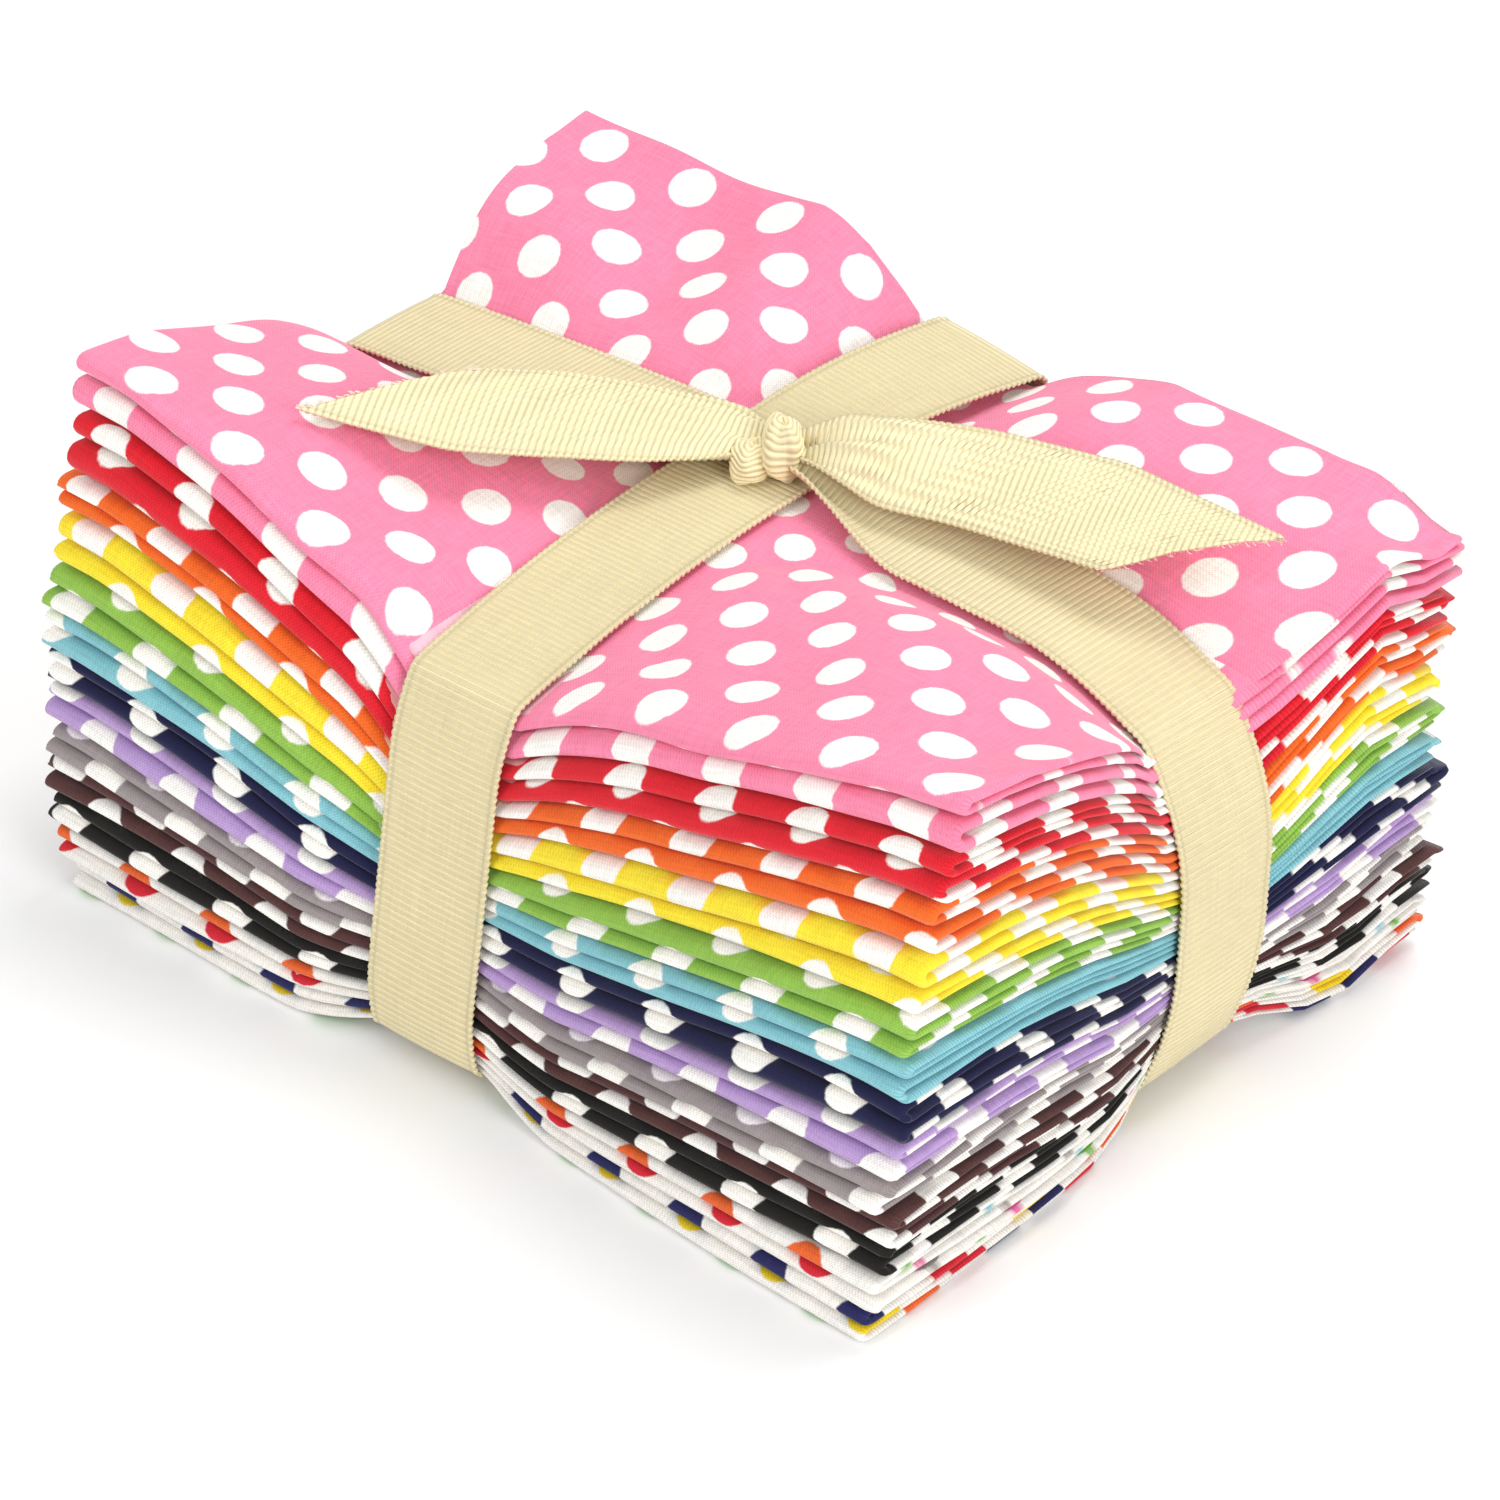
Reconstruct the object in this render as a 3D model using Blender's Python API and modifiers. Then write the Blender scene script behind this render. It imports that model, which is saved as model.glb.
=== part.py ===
"""Fat quarter bundle: thirteen folded cotton quarters, stacked and tied both ways with a grosgrain ribbon.

Metres, +Z up. The folds run along X and face -Y, the layers' ends face +X and -X, and the bundle rests
on Z = 0. Each quarter is one sheet that goes back and forth four times. The ribbon draws the stack in
along two bands, so that the four corners stand up like a pillow's.
"""

import math
from collections import namedtuple

import bmesh
import bpy
from mathutils import Matrix, Vector

MM = 0.001

# The bundle's outline
HALF_LENGTH = 90 * MM
HALF_DEPTH = 66 * MM
BED_FRONT = -60 * MM
BED_BACK = 62 * MM
MIDDLE_OF_DEPTH = -3 * MM

# The ribbon's two bands, seen from above
RIBBON_X = -8 * MM
RIBBON_Y = 13 * MM
RIBBON_HALF_WIDTH = 11 * MM
RIBBON_THICKNESS = 1.0 * MM
RIBBON_CLEARANCE = 0.6 * MM
STEP_RUN = 3 * MM
CLOSE = 1 * MM

# Height of the stack's top at its four corners, and where the two bands cross
Corners = namedtuple("Corners", "left_front right_front left_back right_back")
CORNER_TOPS = Corners(96 * MM, 93.5 * MM, 91 * MM, 88 * MM)
CROSSING_TOP = 75 * MM
BAND_DROP_AT_FRONT = 8 * MM
BAND_DROP_AT_BACK = 2 * MM
BAND_DROP_AT_SIDES = 4 * MM
ARCH = 5 * MM
ARCH_REACH = 17 * MM
BACK_CORNER_LIFT = 3 * MM
BACK_CORNER_DROP = 7 * MM

# How far the pull of each band reaches from its edge
Reach = namedtuple("Reach", "below above")
REACH_X = Reach(64 * MM, 80 * MM)
REACH_Y = Reach(45 * MM, 30 * MM)
BACK_REACH_SHARE = 0.4
PULL_POWER = 1.3
BANDS_TOGETHER = 3

# How far out the stack's sides stand under the ribbon
BAND_FRONT_AT_FLOOR = -69 * MM
BAND_FRONT_AT_TOP = -56 * MM
BAND_BACK = 66 * MM
BAND_SIDE = 87 * MM
EDGE_ROUND_IN = 4 * MM
EDGE_ROUND_HEIGHT = 13 * MM

# One layer of cloth and the air above it, in an unpressed quarter
PASSES = 4
PITCH = 1.75 * MM
SHEET_SHARE = 0.68
LAYERS_SHARE = 0.96
FOLD_STEPS = 3

X_STATIONS = (
    -HALF_LENGTH,
    -62 * MM,
    -37 * MM,
    RIBBON_X - RIBBON_HALF_WIDTH,
    RIBBON_X + RIBBON_HALF_WIDTH,
    28 * MM,
    58 * MM,
    HALF_LENGTH,
)
Y_STATIONS = (
    BED_FRONT,
    -37 * MM,
    -16 * MM,
    RIBBON_Y - RIBBON_HALF_WIDTH,
    RIBBON_Y + RIBBON_HALF_WIDTH,
    41 * MM,
    BED_BACK,
)

# Each quarter, from the top down, in millimetres: its thickness at the left and the right end of the fold
# side, the share of that taken by its upper fold, how far forward its folds reach at the two ends, how far
# back it reaches, and its left and right ends
Quarter = namedtuple(
    "Quarter", "name colour left_high right_high upper_share front_left front_right back left right"
)
QUARTERS = (
    Quarter("pink", (0.95, 0.17, 0.40), 10.0, 11.0, 0.42, -57.0, -59.0, 64.0, -91.5, 92.0),
    Quarter("red", (0.76, 0.01, 0.03), 10.5, 8.5, 0.44, -59.0, -60.5, 64.5, -91.0, 91.0),
    Quarter("orange", (0.92, 0.13, 0.02), 6.3, 8.8, 0.48, -61.0, -62.0, 66.5, -92.0, 90.5),
    Quarter("yellow", (1.00, 0.75, 0.02), 8.5, 9.5, 0.58, -63.0, -64.0, 65.0, -91.5, 89.5),
    Quarter("lime", (0.22, 0.55, 0.05), 7.6, 7.0, 0.56, -65.0, -66.5, 66.5, -92.0, 90.0),
    Quarter("aqua", (0.17, 0.57, 0.68), 6.4, 6.4, 0.47, -66.0, -68.0, 65.0, -92.0, 90.0),
    Quarter("navy", (0.014, 0.014, 0.09), 6.4, 7.6, 0.44, -66.0, -68.0, 67.0, -91.5, 91.0),
    Quarter("lavender", (0.42, 0.26, 0.64), 7.0, 6.4, 0.43, -67.0, -69.0, 66.5, -92.0, 89.5),
    Quarter("grey", (0.35, 0.30, 0.29), 5.8, 5.6, 0.46, -68.0, -71.0, 66.0, -91.0, 89.0),
    Quarter("brown", (0.09, 0.03, 0.025), 6.8, 5.4, 0.52, -67.5, -70.0, 67.5, -92.0, 90.0),
    Quarter("black", (0.012, 0.011, 0.009), 5.4, 5.4, 0.48, -68.0, -71.0, 66.5, -91.0, 89.5),
    Quarter("white_upper", (0.83, 0.80, 0.76), 6.2, 5.4, 0.54, -68.0, -72.5, 66.0, -90.0, 89.0),
    Quarter("white_lower", (0.83, 0.80, 0.76), 6.2, 5.4, 0.52, -67.0, -73.5, 67.0, -88.0, 88.0),
)

# The knot, and its two free ends: points on the middle of each, seen from above, with their height over
# the cloth
KNOT_HALF_SIZE = Vector((11 * MM, 8.5 * MM, 4.6 * MM))
KNOT_CENTRE = Vector((-6 * MM, 13.5 * MM))
TAIL_WIDTH = 22 * MM
TailPoint = namedtuple("TailPoint", "x y lift width_share")
LEFT_TAIL = (
    TailPoint(-6, 13, 7.0, 0.45),
    TailPoint(-14, 9, 7.0, 0.6),
    TailPoint(-24, 1, 7.0, 0.9),
    TailPoint(-34, -7, 6.0, 1.0),
    TailPoint(-44, -14, 4.5, 1.0),
    TailPoint(-57, -22, 3.0, 1.0),
)
RIGHT_TAIL = (
    TailPoint(-6, 13, 7.0, 0.45),
    TailPoint(2, 18, 7.0, 0.6),
    TailPoint(12, 24, 7.0, 0.9),
    TailPoint(25, 28, 6.5, 1.0),
    TailPoint(40, 30, 5.5, 1.0),
    TailPoint(55, 31, 4.0, 1.0),
    TailPoint(67, 31, 3.5, 1.0),
)
TAIL_CUT_SLANT = 9 * MM
TAIL_STEPS_ACROSS = 3

RIBBON_COLOUR = (0.86, 0.72, 0.45)


def mix(a, b, share):
    return a + (b - a) * share


def pull(place, middle, reach, reach_share=1.0):
    """How strongly a band of the ribbon holds the cloth down: 1 under the band, 0 out of its reach."""
    beyond = abs(place - middle) - RIBBON_HALF_WIDTH
    share = beyond / ((reach.below if place < middle else reach.above) * reach_share)
    return (1 - min(max(share, 0.0), 1.0)) ** PULL_POWER


def pull_across(x):
    return pull(x, RIBBON_X, REACH_X)


def pull_along(y):
    return pull(y, RIBBON_Y, REACH_Y)


def top_at(x, y):
    share_x = (x + HALF_LENGTH) / (2 * HALF_LENGTH)
    share_y = (y + HALF_DEPTH) / (2 * HALF_DEPTH)
    corner = mix(
        mix(CORNER_TOPS.left_front, CORNER_TOPS.right_front, share_x),
        mix(CORNER_TOPS.left_back, CORNER_TOPS.right_back, share_x),
        share_y,
    )
    across = pull(x, RIBBON_X, REACH_X, mix(1.0, BACK_REACH_SHARE, share_y))
    along = pull_along(y)
    from_crossing = (y - RIBBON_Y) / HALF_DEPTH
    drop = BAND_DROP_AT_FRONT if from_crossing < 0 else BAND_DROP_AT_BACK
    band = CROSSING_TOP - drop * from_crossing**2 * across
    band -= BAND_DROP_AT_SIDES * (x / HALF_LENGTH) ** 2 * along
    together = (across**BANDS_TOGETHER + along**BANDS_TOGETHER) ** (1 / BANDS_TOGETHER)
    return mix(corner, band, min(together, 1.0)) - BACK_CORNER_DROP * back_corner(x, y)


def back_corner(x, y):
    """1 at the right back corner of the stack, 0.4 a little in front of it, and 0 elsewhere."""
    if x < X_STATIONS[-1] or y < Y_STATIONS[-2]:
        return 0.0
    return 1.0 if y > Y_STATIONS[-2] else 0.4


def bottom_at(x, y):
    narrow = Reach(ARCH_REACH, ARCH_REACH)
    clear = (1 - pull(x, RIBBON_X, narrow)) * (1 - pull(y, RIBBON_Y, narrow))
    return ARCH * (1 - clear) + BACK_CORNER_LIFT * back_corner(x, y)


def cell(place, stations):
    """The two stations round a place, or the nearest two past the ends, and its share of the way."""
    number = 0
    while number < len(stations) - 2 and place > stations[number + 1]:
        number += 1
    low, high = stations[number : number + 2]
    return low, high, (place - low) / (high - low)


def faceted(surface, x, y):
    """A surface taken straight from station to station, and straight on past the last ones."""
    left, right, share_x = cell(x, X_STATIONS)
    front, back, share_y = cell(y, Y_STATIONS)
    return mix(
        mix(surface(left, front), surface(right, front), share_x),
        mix(surface(left, back), surface(right, back), share_x),
        share_y,
    )


def stack_top(x, y):
    """Height of the stack's top."""
    return faceted(top_at, x, y)


def stack_bottom(x, y):
    """Height of the stack's underside: flat on the surface, and arched up where the ribbon goes under."""
    return faceted(bottom_at, x, y)


def rounded_in(z, top):
    """How far the stack's side turns inward under the ribbon at its upper and lower edges."""
    over = max(0.0, (z - (top - EDGE_ROUND_HEIGHT)) / EDGE_ROUND_HEIGHT)
    under = max(0.0, (ARCH + EDGE_ROUND_HEIGHT - z) / EDGE_ROUND_HEIGHT)
    return EDGE_ROUND_IN * (min(over, 1.0) ** 2 + min(under, 1.0) ** 2)


def band_front(z, top):
    share = min(max(z / CROSSING_TOP, 0.0), 1.0)
    return mix(BAND_FRONT_AT_FLOOR, BAND_FRONT_AT_TOP, share) + rounded_in(z, top)


def band_back(z, top):
    return BAND_BACK - rounded_in(z, top)


def band_side(z, top):
    return BAND_SIDE - rounded_in(z, top)


def stack_place(x, y, level):
    """The height of a level of the stack, from 0 at its underside to 1 at its top."""
    return mix(stack_bottom(x, y), stack_top(x, y), level)


def quarter_level(index, x, layers):
    """The stack level of a number of layers up in a quarter, counted from its underside."""
    share_x = (x + HALF_LENGTH) / (2 * HALF_LENGTH)
    heights = [mix(q.left_high, q.right_high, share_x) for q in QUARTERS]
    quarter = QUARTERS[index]
    layers *= LAYERS_SHARE
    lower_share = 1 - quarter.upper_share
    if layers <= 2:
        share = lower_share * layers / 2
    else:
        share = lower_share + quarter.upper_share * (layers - 2) / 2
    return (sum(heights[index + 1 :]) + heights[index] * share) / sum(heights)


def fold_profile():
    """The sheet's section before it is pressed: (y, height) pairs and the pass that each belongs to."""
    points = []
    radius = PITCH / 2
    for number in range(PASSES):
        height = (number + SHEET_SHARE / 2) * PITCH
        run = Y_STATIONS if number % 2 else Y_STATIONS[::-1]
        points += [(y, height, number) for y in run]
        if number == PASSES - 1:
            continue
        side = 1 if number % 2 else -1
        for step in range(1, FOLD_STEPS):
            turn = math.pi * step / FOLD_STEPS
            points.append(
                (run[-1] + side * radius * math.sin(turn), height + radius * (1 - math.cos(turn)), None)
            )
    return points


def link_mesh(bm, name, collection):
    mesh = bpy.data.meshes.new(name)
    bm.to_mesh(mesh)
    bm.free()
    obj = bpy.data.objects.new(name, mesh)
    collection.objects.link(obj)
    return obj


def grid_mesh(columns, rows):
    """A grid whose vertices come back as rows of columns."""
    bm = bmesh.new()
    bmesh.ops.create_grid(bm, x_segments=columns - 1, y_segments=rows - 1, size=0.5)
    verts = sorted(bm.verts, key=lambda v: (round(v.co.y, 5), round(v.co.x, 5)))
    return bm, [verts[row * columns : (row + 1) * columns] for row in range(rows)]


def applied(obj):
    """The object's mesh with its modifiers made real."""
    graph = bpy.context.evaluated_depsgraph_get()
    mesh = bpy.data.meshes.new_from_object(obj.evaluated_get(graph))
    obj.modifiers.clear()
    old = obj.data
    obj.data = mesh
    bpy.data.meshes.remove(old)
    return mesh


def folded_sheet(name, collection):
    """One sheet folded flat, with its thickness, still without the ribbon's pull."""
    profile = fold_profile()
    bm, rows = grid_mesh(len(X_STATIONS), len(profile))
    for row, (y, height, _) in zip(rows, profile):
        for vert, x in zip(row, X_STATIONS):
            vert.co = (x, y, height)
    forward = []
    backward = []
    number_of = {vert: number for row, (_, _, number) in zip(rows, profile) for vert in row}
    for face in bm.faces:
        numbers = [number_of[vert] for vert in face.verts]
        same_pass = numbers.count(numbers[0]) == len(numbers) and numbers[0] is not None
        (forward if same_pass and numbers[0] % 2 else backward).append(face)
    # Every layer is split along the same diagonals, so that its gaps stay even when it is pressed.
    bmesh.ops.triangulate(bm, faces=forward, quad_method="ALTERNATE")
    bmesh.ops.triangulate(bm, faces=backward, quad_method="FIXED")
    bmesh.ops.recalc_face_normals(bm, faces=bm.faces)
    obj = link_mesh(bm, name, collection)
    wall = obj.modifiers.new("Sheet", "SOLIDIFY")
    wall.thickness = SHEET_SHARE * PITCH
    wall.offset = 0
    wall.use_even_offset = True
    applied(obj)
    return obj


def press(obj, index):
    """Moves a flat folded quarter to its place in the tied stack."""
    quarter = QUARTERS[index]
    reach = PITCH / 2 + SHEET_SHARE * PITCH / 2
    for vert in obj.data.vertices:
        x, y, height = vert.co
        level = quarter_level(index, x, height / PITCH)
        share_x = (x + HALF_LENGTH) / (2 * HALF_LENGTH)
        z = stack_place(x, y, level)
        top = stack_top(x, min(max(y, BED_FRONT), BED_BACK))
        new_x, new_y = x, y
        if y < Y_STATIONS[0] + MM:
            loose = mix(quarter.front_left, quarter.front_right, share_x) * MM
            new_y += mix(loose, band_front(z, top), pull_across(x) ** 2) + reach - BED_FRONT
        elif y > Y_STATIONS[-1] - MM:
            new_y += mix(quarter.back * MM, band_back(z, top), pull_across(x) ** 2) - reach - BED_BACK
        hold = pull_along(y) ** 2
        if x < X_STATIONS[0] + MM:
            new_x = mix(quarter.left * MM, -band_side(z, top), hold)
        elif x > X_STATIONS[-1] - MM:
            new_x = mix(quarter.right * MM, band_side(z, top), hold)
        low, high, share = cell(new_x, X_STATIONS)
        vert.co = (
            new_x,
            new_y,
            mix(
                stack_place(low, new_y, quarter_level(index, low, height / PITCH)),
                stack_place(high, new_y, quarter_level(index, high, height / PITCH)),
                share,
            ),
        )


def side_heights(low, top):
    """Where a band bends on its way up one side, closer together on the rounded edges."""
    turn = EDGE_ROUND_HEIGHT / 3
    straight = top - low - 6 * turn
    rounds = [low + step * turn for step in range(4)]
    middles = [low + 3 * turn + straight * share / 3 for share in (1, 2)]
    return rounds + middles + [top - step * turn for step in (3, 2, 1)]


def band_path(low_side, high_side, top_height, bottom_height, stations):
    """The middle line of a band of the ribbon, as (place, height) pairs round the stack."""
    out = RIBBON_CLEARANCE + RIBBON_THICKNESS / 2
    low_top = top_height(low_side(CROSSING_TOP, CROSSING_TOP))
    high_top = top_height(high_side(CROSSING_TOP, CROSSING_TOP))
    path = [(low_side(z, low_top) - out, z) for z in side_heights(ARCH, low_top)]
    path.append((low_side(low_top, low_top) - out, low_top + out))
    path += [(place, top_height(place) + out) for place in stations]
    path.append((high_side(high_top, high_top) + out, high_top + out))
    path += [(high_side(z, high_top) + out, z) for z in reversed(side_heights(ARCH, high_top))]
    path.append((high_side(ARCH, high_top) + out, ARCH - out))
    path += [(place, bottom_height(place) - out) for place in reversed(stations)]
    path.append((low_side(ARCH, low_top) - out, ARCH - out))
    return path


def band_of_ribbon(name, path, place, collection):
    """A closed band 22 mm wide along a path; place turns (across, along, height) into a point."""
    bm, rows = grid_mesh(2, len(path) + 1)
    for row, (along, height) in zip(rows, path + path[:1]):
        for vert, across in zip(row, (-RIBBON_HALF_WIDTH, RIBBON_HALF_WIDTH)):
            vert.co = place(across, along, height)
    bmesh.ops.remove_doubles(bm, verts=bm.verts, dist=0.01 * MM)
    bmesh.ops.recalc_face_normals(bm, faces=bm.faces)
    obj = link_mesh(bm, name, collection)
    wall = obj.modifiers.new("Ribbon", "SOLIDIFY")
    wall.thickness = RIBBON_THICKNESS
    wall.offset = 0
    wall.use_even_offset = True
    return obj


def ribbon_bands(collection):
    """The band across the folds lies on the cloth, and the band along them passes over and under it."""
    across = band_path(
        band_front,
        band_back,
        lambda y: stack_top(RIBBON_X, y),
        lambda y: stack_bottom(RIBBON_X, y),
        Y_STATIONS[1:-1],
    )
    first = band_of_ribbon(
        "ribbon_across_folds", across, lambda side, y, z: (RIBBON_X + side, y, z), collection
    )

    def step_over(x):
        over = abs(x - RIBBON_X) < RIBBON_HALF_WIDTH + STEP_RUN - CLOSE
        return RIBBON_THICKNESS + RIBBON_CLEARANCE if over else 0.0

    steps = [RIBBON_X + side * (RIBBON_HALF_WIDTH + run) for side in (-1, 1) for run in (CLOSE, STEP_RUN)]
    along = band_path(
        lambda z, top: -band_side(z, top),
        band_side,
        lambda x: stack_top(x, RIBBON_Y) + step_over(x),
        lambda x: stack_bottom(x, RIBBON_Y) - step_over(x),
        sorted(X_STATIONS[1:3] + tuple(steps) + X_STATIONS[5:7]),
    )
    second = band_of_ribbon(
        "ribbon_along_folds", along, lambda side, x, z: (x, RIBBON_Y + side, z), collection
    )
    return [first, second]


def tail_strip(name, points, collection):
    """A free end of the ribbon, lying a little above the cloth, cut off on a slant."""
    bm, rows = grid_mesh(TAIL_STEPS_ACROSS + 1, len(points))
    middle = [Vector((p.x * MM, p.y * MM, 0)) for p in points]
    for number, (row, point) in enumerate(zip(rows, points)):
        before = middle[max(number - 1, 0)]
        after = middle[min(number + 1, len(points) - 1)]
        heading = (after - before).normalized()
        sideways = Vector((-heading.y, heading.x, 0))
        for step, vert in enumerate(row):
            share = step / TAIL_STEPS_ACROSS - 0.5
            spot = middle[number] + sideways * share * TAIL_WIDTH * point.width_share
            if number == len(points) - 1:
                spot += heading * share * 2 * TAIL_CUT_SLANT
            vert.co = (spot.x, spot.y, stack_top(spot.x, spot.y) + point.lift * MM)
    bmesh.ops.recalc_face_normals(bm, faces=bm.faces)
    obj = link_mesh(bm, name, collection)
    wall = obj.modifiers.new("Ribbon", "SOLIDIFY")
    wall.thickness = RIBBON_THICKNESS
    wall.offset = 0
    return obj


def knot_with_tails(collection, cutters):
    """The knot is a soft lump with a waist; its two free ends grow out of its sides."""
    bm = bmesh.new()
    bmesh.ops.create_cube(bm, size=2)
    bmesh.ops.subdivide_edges(bm, edges=bm.edges, cuts=1, use_grid_fill=True)
    base = stack_top(*KNOT_CENTRE) + 2 * (RIBBON_THICKNESS + RIBBON_CLEARANCE) + RIBBON_CLEARANCE
    for vert in bm.verts:
        waist = 0.82 if abs(vert.co.x) < 0.5 else 1.0
        vert.co = Vector(
            (
                KNOT_CENTRE.x + vert.co.x * KNOT_HALF_SIZE.x,
                KNOT_CENTRE.y + vert.co.y * KNOT_HALF_SIZE.y * waist,
                base + KNOT_HALF_SIZE.z + vert.co.z * KNOT_HALF_SIZE.z,
            )
        )
    knot = link_mesh(bm, "ribbon_knot_and_tails", collection)
    soft = knot.modifiers.new("Soft", "SUBSURF")
    soft.levels = 2
    soft.render_levels = 2
    for name, points in (("left_tail_form", LEFT_TAIL), ("right_tail_form", RIGHT_TAIL)):
        tail = tail_strip(name, points, cutters)
        tail.hide_render = True
        tail.display_type = "WIRE"
        join = knot.modifiers.new(name, "BOOLEAN")
        join.operation = "UNION"
        join.solver = "EXACT"
        join.object = tail
    return knot


def give_material(obj, colour, roughness):
    material = bpy.data.materials.new(obj.name)
    material.use_nodes = True
    shader = material.node_tree.nodes["Principled BSDF"]
    shader.inputs["Base Color"].default_value = (*colour, 1)
    shader.inputs["Roughness"].default_value = roughness
    shader.inputs["Metallic"].default_value = 0
    obj.data.materials.clear()
    obj.data.materials.append(material)


def main():
    for obj in list(bpy.data.objects):
        bpy.data.objects.remove(obj, do_unlink=True)
    bundle = bpy.data.collections.new("fat_quarter_bundle")
    cutters = bpy.data.collections.new("joined_forms")
    for collection in (bundle, cutters):
        bpy.context.scene.collection.children.link(collection)
    for index, quarter in enumerate(QUARTERS):
        obj = folded_sheet(f"fat_quarter_{index + 1:02d}_{quarter.name}", bundle)
        press(obj, index)
        give_material(obj, quarter.colour, 0.85)
    for band in ribbon_bands(bundle):
        give_material(band, RIBBON_COLOUR, 0.55)
    give_material(knot_with_tails(bundle, cutters), RIBBON_COLOUR, 0.55)
    centring = Matrix.Translation((0, -MIDDLE_OF_DEPTH, 0))
    for obj in bpy.data.objects:
        obj.data.transform(centring)


main()
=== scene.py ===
import math
from collections import namedtuple

import bmesh
import bpy
import numpy as np
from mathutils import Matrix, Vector


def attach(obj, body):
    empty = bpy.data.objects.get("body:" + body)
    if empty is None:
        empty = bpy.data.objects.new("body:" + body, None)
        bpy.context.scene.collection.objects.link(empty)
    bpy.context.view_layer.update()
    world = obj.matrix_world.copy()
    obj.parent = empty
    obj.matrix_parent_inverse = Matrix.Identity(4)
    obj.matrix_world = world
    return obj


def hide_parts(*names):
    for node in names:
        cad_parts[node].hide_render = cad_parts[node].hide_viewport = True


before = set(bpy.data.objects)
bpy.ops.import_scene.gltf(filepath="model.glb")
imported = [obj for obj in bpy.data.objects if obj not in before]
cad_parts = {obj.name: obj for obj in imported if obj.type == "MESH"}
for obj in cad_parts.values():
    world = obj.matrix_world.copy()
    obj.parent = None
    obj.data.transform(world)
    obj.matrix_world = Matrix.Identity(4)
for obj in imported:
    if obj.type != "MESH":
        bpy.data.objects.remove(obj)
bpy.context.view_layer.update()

MM = 0.001

# The stack, in the CAD's own sizes; the CAD then moves it back by this much to centre it
CENTRING = 3 * MM
HALF_LENGTH = 90 * MM
HALF_DEPTH = 66 * MM
BED_FRONT = -60 * MM
BED_BACK = 62 * MM
RIBBON_X = -8 * MM
RIBBON_Y = 13 * MM
RIBBON_WIDTH = 22 * MM
RIBBON_THICKNESS = 0.45 * MM
Corners = namedtuple("Corners", "left_front right_front left_back right_back")
CORNER_TOPS = Corners(96 * MM, 93.5 * MM, 91 * MM, 88 * MM)
CROSSING_TOP = 75 * MM
BAND_DROP_AT_FRONT = 8 * MM
BAND_DROP_AT_BACK = 2 * MM
BAND_DROP_AT_SIDES = 4 * MM
ARCH = 5 * MM
ARCH_REACH = 17 * MM
BACK_CORNER_LIFT = 3 * MM
BACK_CORNER_DROP = 7 * MM
BACK_CORNER = (74 * MM, 44 * MM, 16 * MM)
Reach = namedtuple("Reach", "below above")
REACH_X = Reach(64 * MM, 80 * MM)
REACH_Y = Reach(45 * MM, 30 * MM)
BACK_REACH_SHARE = 0.35
BACK_DRIFT = 4 * MM
BACK_TILT = 2.6 * MM
BACK_BOW = 2.4 * MM
PULL_POWER = 1.3
BANDS_TOGETHER = 3
BAND_FRONT_AT_FLOOR = -69 * MM
BAND_FRONT_AT_TOP = -56 * MM
BAND_BACK = 69 * MM
BAND_LEFT = -91 * MM
BAND_RIGHT = 87 * MM
Rounding = namedtuple("Rounding", "top_in top_height foot_in foot_height")
SHARP_EDGE = Rounding(3 * MM, 13 * MM, 3 * MM, 13 * MM)
SOFT_EDGE = Rounding(9 * MM, 25 * MM, 6 * MM, 25 * MM)
SHOULDER_DROP = 8 * MM
SHOULDER_START = 45 * MM
SHOULDER_RUN = 40 * MM

# The cut cloth, and how it is folded: in three along the length, then in four across it
CLOTH_LENGTH = 457 * MM
CLOTH_WIDTH = 533 * MM
CLOTH_THICKNESS = 0.24 * MM
SHOWN_PLY_AT_TOP = 186 * MM
SHOWN_PLY_AT_BOTTOM = 181.5 * MM
PASSES = 4
LAYERS_SHARE = 0.96
FOLD_CLOTH = 4.7 * MM
FOLD_REACH = 2.7 * MM
END_REACH = 0.9 * MM

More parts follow.
